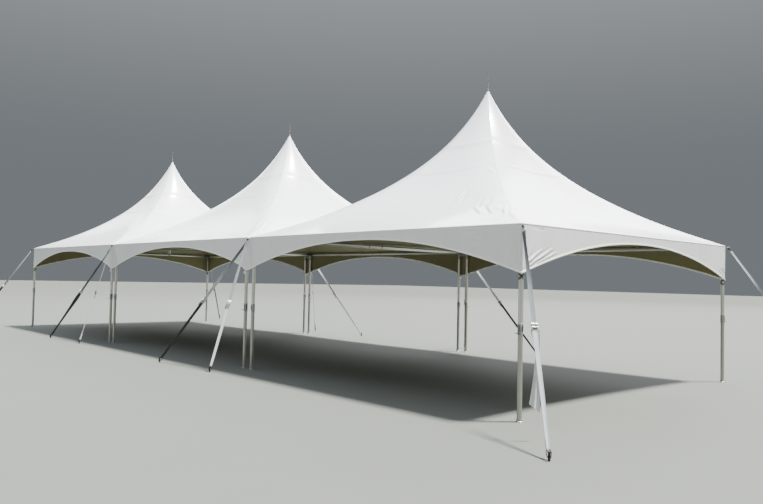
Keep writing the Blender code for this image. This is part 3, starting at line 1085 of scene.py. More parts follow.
SEEN_CREASES = {
    Bay.LEFT: [],
    Bay.MIDDLE: [
        Crease(-1, (1.41, -1.46), (1.15, -1.08), 0.030, 0.0040),
        Crease(-1, (1.76, -1.89), (1.51, -1.58), 0.032, 0.0045),
        Crease(-1, (1.95, -2.12), (1.70, -1.80), 0.028, -0.0035),
        Crease(-1, (2.49, -2.52), (1.95, -2.02), 0.035, 0.0045),
        Crease(-1, (2.62, -2.45), (2.20, -2.00), 0.030, -0.0035),
    ],
    Bay.RIGHT: [
        Crease(-1, (1.00, -1.99), (0.95, -1.72), 0.034, 0.0060),
        Crease(-1, (1.16, -2.08), (1.10, -1.82), 0.030, -0.0055),
        Crease(-1, (1.31, -2.16), (1.30, -1.92), 0.030, 0.0060),
        Crease(-1, (1.77, -2.32), (1.68, -2.04), 0.030, 0.0055),
        Crease(-1, (1.88, -2.34), (1.79, -2.06), 0.026, -0.0045),
        Crease(-1, (1.63, -2.26), (2.00, -2.56), 0.028, 0.0050),
        Crease(-1, (1.76, -2.24), (2.12, -2.54), 0.024, -0.0045),
        Crease(-1, (1.93, -2.36), (2.24, -2.60), 0.026, 0.0050),
        Crease(-1, (0.93, -1.15), (1.20, -1.27), 0.030, 0.0040),
        Crease(-1, (1.02, -1.12), (1.26, -1.21), 0.022, -0.0030),
        Crease(-1, (1.42, -2.20), (1.44, -1.98), 0.022, 0.0035),
        Crease(-1, (2.20, -2.30), (2.52, -2.72), 0.026, 0.0045),
        Crease(-1, (2.34, -2.28), (2.66, -2.70), 0.024, -0.0035),
        Crease(-1, (1.60, 1.18), (1.82, 0.95), 0.036, 0.0045),
        Crease(3, (2.05, -0.048), (2.72, -0.062), 0.016, 0.0036),
        Crease(3, (2.02, -0.075), (2.37, -0.190), 0.018, 0.0040),
        Crease(3, (2.10, -0.145), (2.56, -0.235), 0.018, 0.0042),
        Crease(3, (2.30, -0.228), (2.72, -0.300), 0.018, 0.0040),
        Crease(3, (2.46, -0.410), (2.66, -0.500), 0.016, 0.0045),
        Crease(3, (2.890, -0.02), (2.935, -0.52), 0.013, 0.0040),
        Crease(3, (2.965, -0.05), (2.990, -0.50), 0.012, -0.0030),
        Crease(0, (-2.965, -0.500), (-2.640, -0.310), 0.016, 0.0075),
        Crease(0, (-2.920, -0.525), (-2.400, -0.290), 0.016, 0.0070),
        Crease(0, (-2.840, -0.520), (-2.300, -0.330), 0.015, 0.0050),
        Crease(0, (-2.900, -0.010), (-2.570, -0.034), 0.014, 0.0050),
    ],
}


@dataclass
class RoofForm:
    """The stretched shape of a roof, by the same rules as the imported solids.

    Level is 0 at the peak and 1 at the eave. Side 0 faces +X and the others follow anticlockwise.
    Lean runs from -1 to 1 along a side, between its hips. Sharp is the highest power that squares
    the outline at a corner.
    """

    straight_share: float = 0.473
    curved_share: float = 0.501
    curve_power: float = 2.57
    spike_power: float = 25.0
    squaring: float = 8.6
    face_sag: float = 0.082
    sewn_corner: float = 190.0
    open_corner: float = 3000.0
    level_rounds: int = 12

    def height(self, level: np.ndarray, lean: np.ndarray) -> np.ndarray:
        """Finds the height of the cloth.

        Args:
            level: Level of each point.
            lean: Lean of each point.

        Returns:
            Metres above the ground.
        """
        rest = 1 - level
        spike_share = 1 - self.straight_share - self.curved_share
        rise = self.straight_share * rest + self.curved_share * rest**self.curve_power
        rise = rise + spike_share * rest**self.spike_power
        sag = self.face_sag * (1 - lean**2) * 4 * level * rest
        return PLAN.eave_height + (PLAN.peak_height - PLAN.eave_height) * rise - sag

    def reach(self, level: np.ndarray, lean: np.ndarray, sharp: np.ndarray, sign: int) -> np.ndarray:
        """How far out a side lies as a share of its level, or with sign 1 the inverse of that."""
        # The outline is round near the peak and squarer further down.
        power = np.minimum(2 + self.squaring * level**2 / (1.0001 - level), sharp)
        return (1 + np.abs(lean) ** power) ** (sign / power)

    def points(self, level: np.ndarray, side: np.ndarray, lean: np.ndarray, sharp: np.ndarray) -> np.ndarray:
        """Finds points of the roof.

        Args:
            level: Level of each point.
            side: Side of each point.
            lean: Lean of each point.
            sharp: Sharpness of each point's corner.

        Returns:
            X, Y and Z from the bay's centre.
        """
        cosine, sine = np.cos(side * math.pi / 2), np.sin(side * math.pi / 2)
        out = PLAN.half * level * self.reach(level, lean, sharp, -1)
        x, y = out * cosine - out * lean * sine, out * sine + out * lean * cosine
        return np.stack([x, y, self.height(level, lean) + 0 * out], -1)

    def height_at(self, plan: np.ndarray, open_corners: Sequence[bool]) -> np.ndarray:
        """Finds the height of the cloth over points of the plan.

        Args:
            plan: X and Y from the bay's centre.
            open_corners: Whether each corner meets a shared side.

        Returns:
            The height over each point.
        """
        wide = np.abs(plan[:, 0]) >= np.abs(plan[:, 1])
        side = np.where(wide, np.where(plan[:, 0] > 0, 0, 2), np.where(plan[:, 1] > 0, 1, 3))
        cosine, sine = np.cos(side * math.pi / 2), np.sin(side * math.pi / 2)
        outwards = plan[:, 0] * cosine + plan[:, 1] * sine
        lean = (plan[:, 1] * cosine - plan[:, 0] * sine) / outwards
        corner = np.where(lean < 0, side, (side + 1) % 4)
        sharp = np.where(np.array(open_corners)[corner], self.open_corner, self.sewn_corner)
        level = outwards / PLAN.half
        for _ in range(self.level_rounds):
            level = np.minimum(outwards / PLAN.half * self.reach(level, lean, sharp, 1), 1.0)
        return self.height(level, lean)


class Cloth:
    """A sheet without thickness, put together from grids of points.

    Each point has its grain and its place: a zone (-1 on the roof, a side's number on its valance
    and -2 elsewhere) with two coordinates in it.
    """

    def __init__(self) -> None:
        """Starts a sheet without points."""
        self.points, self.grain, self.places = np.empty((3, 0, 3))
        self.faces: list[list[int]] = []
        self.bottoms: list[np.ndarray] = []
        self.eaves: list[np.ndarray] = []

    def add(self, grid: np.ndarray, grain: Sequence, places: Sequence) -> np.ndarray:
        """Adds a grid of points.

        Args:
            grid: The points, row by row.
            grain: Their grain, one for all or one each.
            places: Their places, one for all or one each.

        Returns:
            The points' numbers, in the same rows.
        """
        numbers = len(self.points) + np.arange(grid[..., 0].size).reshape(grid.shape[:2])
        self.points = np.concatenate([self.points, grid.reshape(-1, 3)])
        self.grain = np.concatenate([self.grain, np.broadcast_to(grain, grid.shape).reshape(-1, 3)])
        self.places = np.concatenate([self.places, np.broadcast_to(places, grid.shape).reshape(-1, 3)])
        return numbers

    def weave(self, numbers: np.ndarray) -> None:
        """Adds the faces of a grid of point numbers, whose rows lead down the cloth."""
        self.faces += [[a, d, c, b] for a, b, c, d in quads(numbers)]

    def refine(self, folds: Sequence[Crease], share: float, height_at: Callable) -> None:
        """Divides the faces about the creases until they can carry their shape.

        Args:
            folds: The creases.
            share: Longest edge on a crease, as a share of its breadth.
            height_at: Gives the roof's height over points of the plan.
        """
        net = bmesh.new()
        layers = [net.verts.layers.float_vector.new(name) for name in ("grain", "place")]
        corners = [net.verts.new(point) for point in self.points.tolist()]
        for vertex, *marks in zip(corners, self.grain.tolist(), self.places.tolist()):
            vertex[layers[0]], vertex[layers[1]] = marks
        for face in self.faces:
            net.faces.new([corners[number] for number in face])
        for margin in (0.060, 0.030, 0.012):
            net.verts.index_update()
            places = np.array([vertex[layers[1]][:] for vertex in net.verts])
            limits = np.full(len(places), np.inf)
            for fold in folds:
                here = fold.within(places)
                here = here[fold.near(places[here, 1:], margin)]
                limits[here] = np.minimum(limits[here], share * fold.breadth)
            long_edges = [
                edge for edge in net.edges
                if edge.calc_length() > max(limits[edge.verts[0].index], limits[edge.verts[1].index])
            ]
            bmesh.ops.subdivide_edges(net, edges=long_edges, cuts=1, use_grid_fill=True)
            added = list(net.verts)[len(places) :]
            fresh = [vertex for vertex in added if abs(vertex[layers[1]][0] + 1) < 0.01]
            if fresh:
                heights = height_at(np.array([vertex.co[:2] for vertex in fresh]))
                for vertex, height in zip(fresh, heights):
                    vertex.co.z = height
        net.verts.index_update()
        self.points = np.array([vertex.co[:] for vertex in net.verts])
        self.grain, self.places = [np.array([vertex[layer][:] for vertex in net.verts]) for layer in layers]
        self.faces = [[vertex.index for vertex in face.verts] for face in net.faces]
        net.free()


def beside(path: np.ndarray) -> np.ndarray:
    """Finds level directions at right angles to a path.

    Args:
        path: Its points.

    Returns:
        One direction a point.
    """
    run = np.gradient(path, axis=0)
    across = np.stack([run[:, 1], -run[:, 0], 0 * run[:, 0]], -1)
    return across / np.linalg.norm(across, axis=1, keepdims=True)


@dataclass
class Canopy:
    """One bay's membrane: the roof, its valances and the level flaps of its shared sides."""

    bay: Bay
    form: RoofForm = field(default_factory=RoofForm)
    thickness: float = 0.004
    peak_hole: float = 0.014
    fold: float = 0.026
    gutter_dip: float = 0.010
    sewn_depth: float = 0.620
    open_depth: float = 0.578
    middle_depth: float = 0.130
    arch_power: float = 2.05
    tip_drop: float = 0.045
    tip_spread: float = 0.090
    tip_offset: float = 0.013
    weld_levels: tuple[float, ...] = (0.235, 0.387, 0.730)
    weld_width: float = 0.045
    weld_ease: float = 0.005
    weld_step: float = 0.0012
    half_columns: int = 40
    upper_rings: int = 24
    lower_rings: int = 26
    lower_start: float = 0.70
    fold_rows: int = 5
    valance_rows: int = 26
    flap_rows: int = 4
    finest_share: float = 0.80
    bead_radius: float = 0.0105
    bead_seat: float = 0.0068
    hem_rise: float = 0.006
    crease_scale: float = 1.5
    deepest_lean: float = 0.97

    def __post_init__(self) -> None:
        """Prepares the columns of the bay's cloth."""
        step = np.linspace(-1, 1, 2 * self.half_columns + 1)[:-1]
        away = 1 - np.abs(step)
        self.per_side = len(step)
        self.side = np.repeat(np.arange(4), self.per_side)
        self.lean = np.tile(np.sign(step) * (1 - (0.15 * away + 0.85 * away**3.2)), 4)
        corner = np.where(self.lean < 0, self.side, (self.side + 1) % 4)
        self.is_open = [bool({number, (number - 1) % 4} & set(self.bay.open_sides)) for number in range(4)]
        self.sharp = np.where(np.array(self.is_open)[corner], self.form.open_corner, self.form.sewn_corner)

    def levels(self) -> np.ndarray:
        """Finds the levels of the roof's rings.

        Returns:
            Each ring's level, and 1 where it is on a weld and 0 elsewhere.
        """
        first = self.peak_hole / PLAN.half
        last = 1 - self.fold / PLAN.half
        upper = first + (self.lower_start - first) * np.linspace(0, 1, self.upper_rings) ** 1.5
        lower = np.linspace(self.lower_start, last, self.lower_rings)[1:]
        rings = [(level, 0.0) for level in (*upper, *lower)]
        half = self.weld_width / 2 / PLAN.half
        ease = self.weld_ease / PLAN.half
        for weld in self.weld_levels:
            rings = [ring for ring in rings if abs(ring[0] - weld) > half + 2 * ease]
            for sign in (-1, 1):
                rings += [(weld + sign * (half + ease), 0.0), (weld + sign * half, 1.0)]
        return np.array(sorted(rings))

    def depth(self, side: int, along: np.ndarray) -> np.ndarray:
        """How far a valance hangs below the eave.

        Args:
            side: Its side.
            along: Metres from the side's middle.

        Returns:
            The depth at each place.
        """
        corners = (side, (side + 1) % 4)
        ends = [self.open_depth if self.is_open[corner] else self.sewn_depth for corner in corners]
        share = np.minimum(np.abs(along) / PLAN.half, 1.0)
        depth = self.middle_depth + (np.where(along < 0, *ends) - self.middle_depth) * share**self.arch_power
        if side in (1, 3):
            near_leg = PLAN.leg_line + self.tip_offset
            for open_side in self.bay.open_sides:
                tip = near_leg if open_side == 0 else near_leg - PLAN.pitch
                distance = np.abs((along if side == 3 else -along) - tip)
                depth = depth + self.tip_drop * np.exp(-distance / self.tip_spread)
        return depth

    def creases(self) -> list[Crease]:
        """Folds of this bay's cloth: fans at its corners and the ones that the photograph shows.

        Returns:
            The folds.
        """
        dice = np.random.default_rng(40 + self.bay.value)
        folds: list[Crease] = []
        for corner in range(4):
            fan = 3 if self.is_open[corner] else 5
            for side, sign in ((corner, -1), ((corner - 1) % 4, 1)):
                if side in self.bay.open_sides:
                    continue
                turn = side * math.pi / 2
                outwards = np.array([math.cos(turn), math.sin(turn)])
                along = sign * np.array([-math.sin(turn), math.cos(turn)])
                start = PLAN.half * (outwards + along)
                for number in range(fan):
                    angle = math.radians(8 + 34 * (number + dice.uniform(0.1, 0.9)) / fan)
                    near, length = dice.uniform(0.10, 0.35), dice.uniform(0.35, 0.95)
                    way = -math.cos(angle) * along - math.sin(angle) * outwards
                    ends = tuple(start + near * way), tuple(start + (near + length) * way)
                    folds.append(Crease(-1, *ends, 0.034, 0.0030 * dice.uniform(-1, 1)))
                if self.is_open[corner]:
                    continue
                start = np.array([sign * (PLAN.half - 0.03), 0.03 - self.sewn_depth])
                for number in range(4):
                    angle = math.radians(28 + 48 * (number + dice.uniform(0.2, 0.8)) / 4)
                    length = dice.uniform(0.16, 0.42)
                    way = np.array([-sign * math.cos(angle), math.sin(angle)])
                    ends = tuple(start + 0.05 * way), tuple(start + (0.05 + length) * way)
                    folds.append(Crease(side, *ends, 0.017, 0.0034 * dice.uniform(0.7, 1.3)))
        return folds + SEEN_CREASES[self.bay]

    def flaps(self, cloth: Cloth, roof: np.ndarray, numbers: np.ndarray) -> dict[int, tuple]:
        """Adds the level flaps of the shared sides, which dip towards the gutter.

        Args:
            cloth: The cloth.
            roof: Points of the roof's lowest ring.
            numbers: Their numbers.

        Returns:
            For each such side, the flap's points, their numbers and each row's X.
        """
        added = {}
        for side in self.bay.open_sides:
            picked = np.arange(side * self.per_side, (side + 1) * self.per_side + 1) % len(self.lean)
            base = roof[picked]
            share = np.linspace(0, 1, self.flap_rows + 1)[1:, None]
            outwards = 1 if side == 0 else -1
            rows = np.repeat(base[None], self.flap_rows, 0)
            rows[..., 0] += (outwards * (PLAN.half + PLAN.flap) - base[:, 0]) * share
            low = PLAN.eave_height - self.gutter_dip
            rows[..., 2] += (low - base[:, 2]) * np.sin(share * math.pi / 2)
            new = cloth.add(rows, (0, 1, 0), (-2, 0, 0))
            cloth.weave(np.concatenate([numbers[picked][None], new]))
            added[side] = rows, new, outwards * (PLAN.half + PLAN.flap * share[:, 0])
        return added

    def surface(self) -> Cloth:
        """Lays out the cloth.

        Returns:
            The cloth, with its lower edges and the lines of its eaves.
        """
        levels = self.levels()
        roof = self.form.points(levels[:, :1], self.side, self.lean, self.sharp)
        cloth = Cloth()
        places = np.insert(roof[..., :2], 0, -1, axis=-1)
        numbers = cloth.add(roof, np.insert(levels[:, ::-1], 2, 0, axis=-1)[:, None], places)
        cloth.weave(np.pad(numbers, ((0, 0), (0, 1)), "wrap"))
        eave = self.form.points(np.ones(1), self.side, self.lean, self.sharp)
        flaps = self.flaps(cloth, roof[-1], numbers[-1])
        for run in self.bay.runs:
            sides = [*np.repeat(run, self.per_side), run[-1]]
            picked = np.arange(run[0] * self.per_side, run[0] * self.per_side + len(sides)) % len(self.lean)
            along = PLAN.half * np.append(self.lean[picked[:-1]], 1.0)
            # A column holds the roof's edge, the eave's line, the point's number, side and metres.
            strip = np.column_stack([roof[-1, picked], eave[picked], numbers[-1, picked], sides, along])
            for flap_side, own, end in (((run[0] - 1) % 4, run[0], 0), ((run[-1] + 1) % 4, run[-1], -1)):
                if flap_side in flaps:
                    rows, new, x = flaps[flap_side]
                    top, level = rows[:, -1 - end], np.full(len(x), strip[end, 4])
                    out = np.abs(x) if end else -np.abs(x)
                    own_side = np.full(len(x), own)
                    extra = np.column_stack([top, x, level, top[:, 2], new[:, -1 - end], own_side, out])
                    strip = np.concatenate([strip, extra] if end else [extra[::-1], strip])
            top, edge, sides, along = strip[:, :3], strip[:, 3:6], strip[:, 7], strip[:, 8]
            depth = np.zeros(len(along))
            for side in run:
                depth[sides == side] = self.depth(side, along[sides == side])
            rows = bend(top, edge, edge - [0, 0, self.fold], self.fold_rows)
            for step in range(1, self.valance_rows + 1):
                rows.append(edge - np.outer(self.fold + (depth - self.fold) * step / self.valance_rows, UP))
            grid = np.array(rows)
            places = np.stack(np.broadcast_arrays(sides, along, grid[..., 2] - PLAN.eave_height), -1)
            places[: self.fold_rows, :, 0] = -2
            new = cloth.add(grid, (0, 1, 0), places)
            cloth.weave(np.concatenate([strip[None, :, 6].astype(int), new]))
            cloth.bottoms.append(new[-1])
            cloth.eaves.append(edge)
        return cloth

    def build(self, wardrobe: Wardrobe) -> None:
        """Makes the canopy with its hem.

        Args:
            wardrobe: The finishes.
        """
        folds = self.creases()
        cloth = self.surface()
        cloth.refine(folds, self.finest_share, lambda plan: self.form.height_at(plan, self.is_open))
        lift = np.zeros(len(cloth.points))
        for fold in folds:
            here = fold.within(cloth.places)
            lift[here] += self.crease_scale * fold.rise(cloth.places[here, 1:])
        points = cloth.points + lift[:, None] * normals(cloth.points, cloth.faces)
        normal = normals(points, cloth.faces)
        outer = points + self.weld_step * cloth.grain[:, :1] * normal
        shape = Shape.skins(outer, points - self.thickness * normal, cloth.faces, cloth.grain)
        where = f"{self.bay.word}_bay"
        # The inner skin takes the lining, whose warm dark tone is painted shade and painted reflected light.
        canopy = shape.moved(self.bay.centre).piece(
            f"roof_{where}", [wardrobe.roof, wardrobe.lining], Slot.MEMBRANE, f"canopy_{where}", 60.0
        )
        width = self.slope_length(0) + self.slope_length(2)
        length = self.slope_length(1) + self.slope_length(3)
        self.hem(cloth, points, wardrobe)

    def slope_length(self, side: int) -> float:
        """Measures the cloth down the deepest line of one side.

        Args:
            side: The side.

        Returns:
            The length from the peak, with the side's valance or flap.
        """
        line = self.form.points(np.linspace(0, 1, 200), side, self.deepest_lean, self.form.sewn_corner)
        slope = float(np.linalg.norm(np.diff(line, axis=0), axis=1).sum())
        return slope + (PLAN.flap if side in self.bay.open_sides else self.sewn_depth)

    def hem(self, cloth: Cloth, points: np.ndarray, wardrobe: Wardrobe) -> Object:
        """Makes the bead along the eaves and the corded hem along the valances' lower edge.

        Args:
            cloth: The cloth.
            points: Its points with the creases in it.
            wardrobe: The finishes.

        Returns:
            The hem.
        """
        cords = []
        for edge in cloth.eaves:
            across = beside(edge)
            path = edge - self.bead_seat * (across + [0, 0, 1])
            cords.append(swept(path, across, circle(self.bead_radius, 12)))
        outline = round_rectangle(0.0150, 0.0270, 0.0070, 4)
        for row in cloth.bottoms:
            across = beside(points[row])
            path = points[row] - across * self.thickness / 2 + [0, 0, self.hem_rise]
            cords.append(swept(path, across, outline))
        shape = Shape.joined(cords).moved(self.bay.centre)
        # Bead and hem take the whiter hem finish, a painted highlight.
        return shape.piece(f"hem_{self.bay.word}_bay", [wardrobe.hem], Slot.MEMBRANE, crease=50.0)


@dataclass
class JoiningStrip:
    """The strip of cloth that covers the gutter between two bays and hangs over its ends."""

    hand: Hand
    width: float = 0.190
    thickness: float = 0.0025
    lift: float = 0.0018
    fold: float = 0.026
    short_of_tip: float = 0.004
    columns: int = 12
    hanging_rows: int = 24
    fold_rows: int = 6
    level_rows: int = 60

    def build(self, wardrobe: Wardrobe) -> None:
        """Makes the strip.

        Args:
            wardrobe: The finishes.
        """
        line = self.hand.value * PLAN.pitch / 2
        bay = Bay.MIDDLE if self.hand is Hand.RIGHT else Bay.LEFT
        canopy = Canopy(bay)
        x = np.linspace(-self.width / 2, self.width / 2, self.columns)
        depth = canopy.depth(3, line + x - bay.centre)
        dip = canopy.gutter_dip * np.cos(np.clip(x / (PLAN.bay_gap / 2 + 0.02), -1, 1) * math.pi / 2) ** 0.7
        reach = PLAN.half + self.lift + self.thickness
        rows = []
        for share in np.linspace(1, 0, self.hanging_rows):
            drop = self.fold + (depth - self.short_of_tip - self.fold) * share
            rows.append(np.stack([x, 0 * x - reach, PLAN.eave_height - drop], -1))
        rim = np.stack([x, 0 * x - reach, PLAN.eave_height + self.lift + self.thickness - dip], -1)
        level = rim + [0, self.fold, 0]
        rows += bend(rows[-1], rim, level, self.fold_rows)
        hanging = np.array(rows)
        shares = np.linspace(0, 1, self.level_rows + 1)[1:-1]
        across = [level + [0, 2 * share * (reach - self.fold), 0] for share in shares]
        grid = np.concatenate([hanging, across, hanging[::-1] * [1, -1, 1]]) + [line, 0, 0]
        points = grid.reshape(-1, 3)
        faces = quads(np.arange(len(points)).reshape(grid.shape[:2]))
        inner = points - self.thickness * normals(points, faces)
        shape = Shape.skins(points, inner, faces, np.tile([0.0, 1.0, 0.0], (len(points), 1))).coated(0)
        name = f"joining_strip_{self.hand.word}"
        strip = shape.piece(name, [wardrobe.roof], Slot.MEMBRANE, crease=50.0)


@dataclass
class Leg:
    """A leg: two tubes joined by a clamped sleeve, on a round foot."""

    bay: Bay
    row: Row
    hand: Hand
    sleeve_radius: float = 0.0365
    sleeve_length: float = 0.140
    sleeve_height: float = 1.130
    foot_radius: float = 0.045
    foot_height: float = 0.010

    def tubes(self) -> list[Shape]:
        """The two tubes, the sleeve between them and the foot.

        Returns:
            The parts, with the leg's centre at the origin.
        """
        top = PLAN.head_height - PLAN.head_drop - PLAN.seat
        radius, outer, foot = PLAN.tube_radius, self.sleeve_radius, self.foot_radius
        upper = [(radius, height) for height in np.linspace(self.sleeve_height, top - 0.001, 14)]
        lower = [(radius, height) for height in np.linspace(self.foot_height, self.sleeve_height, 12)]
        rolled_end = [
            (radius + 0.0003, 0.0), (outer - 0.0012, 0.0), (outer, 0.0015), (outer, 0.016),
            (outer - 0.0012, 0.018),
        ]
        ends = self.sleeve_height - self.sleeve_length / 2, self.sleeve_height + self.sleeve_length / 2
        plate = [
            (foot - 0.002, 0.0), (foot, 0.0015), (foot, 0.0065), (foot - 0.0025, 0.0085),
            (radius + 0.008, self.foot_height - 0.0005), (radius + 0.0045, self.foot_height + 0.003),
            (radius + 0.0035, self.foot_height + 0.026), (radius + 0.0025, self.foot_height + 0.028),
        ]
        return [
            turned([*upper, (radius - 0.001, top)], 36), turned(mirrored(rolled_end, *ends), 36).coated(1),
            turned(plate, 36).coated(1), turned(lower, 36).coated(3),
        ]

    def fittings(self, outwards: Vector) -> list[Shape]:
        """The sleeve's bolts, lever, clamps and hook, and the foot's pin.

        Args:
            outwards: From the leg's centre to the outside.

        Returns:
            The parts, with the leg's centre at the origin.
        """
        across = UP.cross(outwards)
        parts = []
        for height in (-0.040, 0.040):
            for way in (across, -across):
                seat = way * (self.sleeve_radius - 0.0025) + UP * (self.sleeve_height + height)
                parts.append(bolt(0.0065, 0.007).placed(aimed(seat, way)).coated(2))
        lever = prism(round_rectangle(0.016, 0.074, 0.006), 0.005, 0.0012)
        seat = outwards * (self.sleeve_radius + 0.0035) + UP * self.sleeve_height
        parts.append(lever.placed(axes_at(seat, across, UP)).coated(2))
        clamp = prism(round_rectangle(0.012, 0.080, 0.005), 0.006, 0.001)
        for turn in (-1, 1):
            way = (outwards * 0.8 + across * 0.6 * turn).normalized()
            seat = way * (self.sleeve_radius - 0.001) + UP * (self.sleeve_height + 0.012)
            parts.append(clamp.placed(axes_at(seat, UP.cross(way), UP)).coated(4))
        hook = outwards * 0.034 + UP * (self.sleeve_height - 0.058)
        parts.append(bar(hook, hook - across * 0.078 + UP * 0.014, 0.0042, 12).coated(4))
        pin = aimed(outwards * (self.foot_radius - 0.006) + UP * 0.006, UP)
        parts.append(bolt(0.005, 0.006).placed(pin).coated(2))
        return parts

    def build(self, wardrobe: Wardrobe) -> None:
        """Makes the leg with its sleeve, fittings and foot.

        Args:
            wardrobe: The finishes.
        """
        x = self.bay.centre + self.hand.value * PLAN.leg_line
        parts = self.tubes() + self.fittings(Vector((self.hand.value, self.row.value, 0)).normalized())
        shape = Shape.joined(parts).moved(x, self.row.value * PLAN.leg_line)
        where = f"{self.bay.word}_bay_{self.row.word}_{self.hand.word}"
        # The lower tube takes the darker copy of the tube finish, which is painted shade.
        finishes = [wardrobe.tube, wardrobe.casting, wardrobe.zinc, wardrobe.worn_tube, wardrobe.black_steel]
        shape.piece(f"post_{where}", finishes, Slot.TUBE, f"leg_{where}")


@dataclass
class Head:
    """Cast heads that hold the legs, beams, cables and guys."""

    lug_thickness: float = 0.006
    lug_height: float = 0.040
    lug_power: float = 7.0
    socket_start: float = 0.022
    bridge_drop: float = 0.070
    bridge_height: float = 0.050
    bridge_thickness: float = 0.012

    def socket(self, start: Vector, way: Vector, length: float, radius: float) -> list[Shape]:
        """A tube socket with a rolled mouth and a set screw.

        Args:
            start: Where it starts.
            way: The direction of its mouth.
            length: Its length.
            radius: Its outer radius.

        Returns:
            The socket and its screw.
        """
        rolled = radius + 0.0022
        profile = [
            (radius - 0.002, 0.0), (radius, 0.002), (radius, length - 0.014), (rolled, length - 0.011),
            (rolled, length - 0.004), (radius, length - 0.0015), (radius - 0.002, length),
        ]
        side = -UP if abs(way.z) < 0.5 else Vector((0.6, 0.8, 0))
        screw = aimed(start + way * (length - 0.045) + side * (radius - 0.001), side)
        return [turned(profile, 32).placed(aimed(start, way)), bolt(0.006, 0.008).placed(screw).coated(1)]

    def lug(self, outwards: Vector, length: float) -> Shape:
        """The flat lug with the guy's eye.

        Args:
            outwards: The way that it points from the head's centre.
            length: From the head's centre to its end.

        Returns:
            The lug.
        """
        angle = steps_round(48)
        eye = length - PLAN.lug_margin
        ahead = np.where(np.cos(angle) > 0, PLAN.lug_margin, eye)
        terms = (np.abs(np.cos(angle)) / ahead) ** self.lug_power
        terms += (np.abs(np.sin(angle)) / (self.lug_height / 2)) ** self.lug_power
        plate = pierced_plate(PLAN.lug_hole, terms ** (-1 / self.lug_power), self.lug_thickness, 0.0008)
        return plate.placed(axes_at(outwards * eye, outwards, UP))

    def leg_socket(self, x: float, arm_sign: int) -> list[Shape]:
        """One leg's socket with its two arms, dome and inner lug.

        Args:
            x: Place along the row from the head's middle.
            arm_sign: Which way the arm along the row points.

        Returns:
            The parts, as they are on the front.
        """
        radius = PLAN.head_radius
        centre = ALONG * x
        parts = self.socket(centre + UP * self.socket_start, -UP, PLAN.head_drop + self.socket_start, radius)
        dome = [(radius, 0.020), (radius - 0.001, 0.027), (radius - 0.006, 0.032), (radius - 0.014, 0.0342)]
        parts.append(turned(dome, 32).moved(x))
        for way in (ALONG * arm_sign, BACKWARDS):
            parts += self.socket(centre, way, PLAN.head_arm, radius - 0.0005)
        inwards = Vector((arm_sign, 1, 0)).normalized()
        plate = prism(round_rectangle(PLAN.inner_lug, self.lug_height, 0.008), self.lug_thickness, 0.001)
        seat = centre + inwards * PLAN.inner_lug / 2 - UP * PLAN.cable_drop
        return [*parts, plate.placed(axes_at(seat, inwards, UP))]

    def corner(self) -> Shape:
        """The head of the front right corner."""
        length = math.sqrt(2) * PLAN.inset + PLAN.guy_lug
        return Shape.joined([*self.leg_socket(0.0, -1), self.lug(Vector((1, -1, 0)).normalized(), length)])

    def junction(self) -> Shape:
        """The head of two legs on the front, with a bolted bridge between them.

        Returns:
            The head.
        """
        thick = self.bridge_thickness
        span = round_rectangle(2 * PLAN.half_pair - PLAN.head_radius, self.bridge_height, 0.006)
        bridge = prism(span, thick, 0.0015)
        web = prism(round_rectangle(thick, self.bridge_drop + 0.020, 0.003), self.lug_thickness, 0.001)
        drop = UP * -self.bridge_drop
        parts = self.leg_socket(-PLAN.half_pair, -1) + self.leg_socket(PLAN.half_pair, 1)
        parts += [bridge.placed(axes_at(drop, ALONG, UP)), web.placed(axes_at(drop / 2, BACKWARDS, UP))]
        for side in (-1, 1):
            seat = drop + Vector((side * 0.045, -thick / 2, 0))
            parts.append(bolt(0.007, 0.008).placed(aimed(seat, -BACKWARDS)).coated(1))
        return Shape.joined([*parts, self.lug(-BACKWARDS, PLAN.inset + PLAN.guy_lug)])

    def build(self, wardrobe: Wardrobe) -> None:
        """Places the four corner heads and the four junction heads.

        Args:
            wardrobe: The finishes.
        """
        finishes = [wardrobe.casting, wardrobe.zinc]
        corner, junction = self.corner(), self.junction()
        places = [
            (corner, "corner", row, hand, PLAN.end_line, quarter / 2)
            for quarter, (row, hand) in enumerate(CORNERS)
        ]
        for row in Row:
            half_turns = 0 if row is Row.FRONT else 1
            places += [(junction, "junction", row, hand, PLAN.pitch / 2, half_turns) for hand in Hand]
        for shape, kind, row, hand, x, half_turns in places:
            placed = shape.placed(Matrix.Rotation(half_turns * math.pi, 4, "Z"))
            placed = placed.moved(hand.value * x, row.value * PLAN.leg_line, PLAN.head_height)
            where = f"{row.word}_{hand.word}"
            placed.piece(f"{kind}_head_{where}", finishes, Slot.CASTING, f"{kind}_fitting_{where}")
        LOG.info("heads: eight")


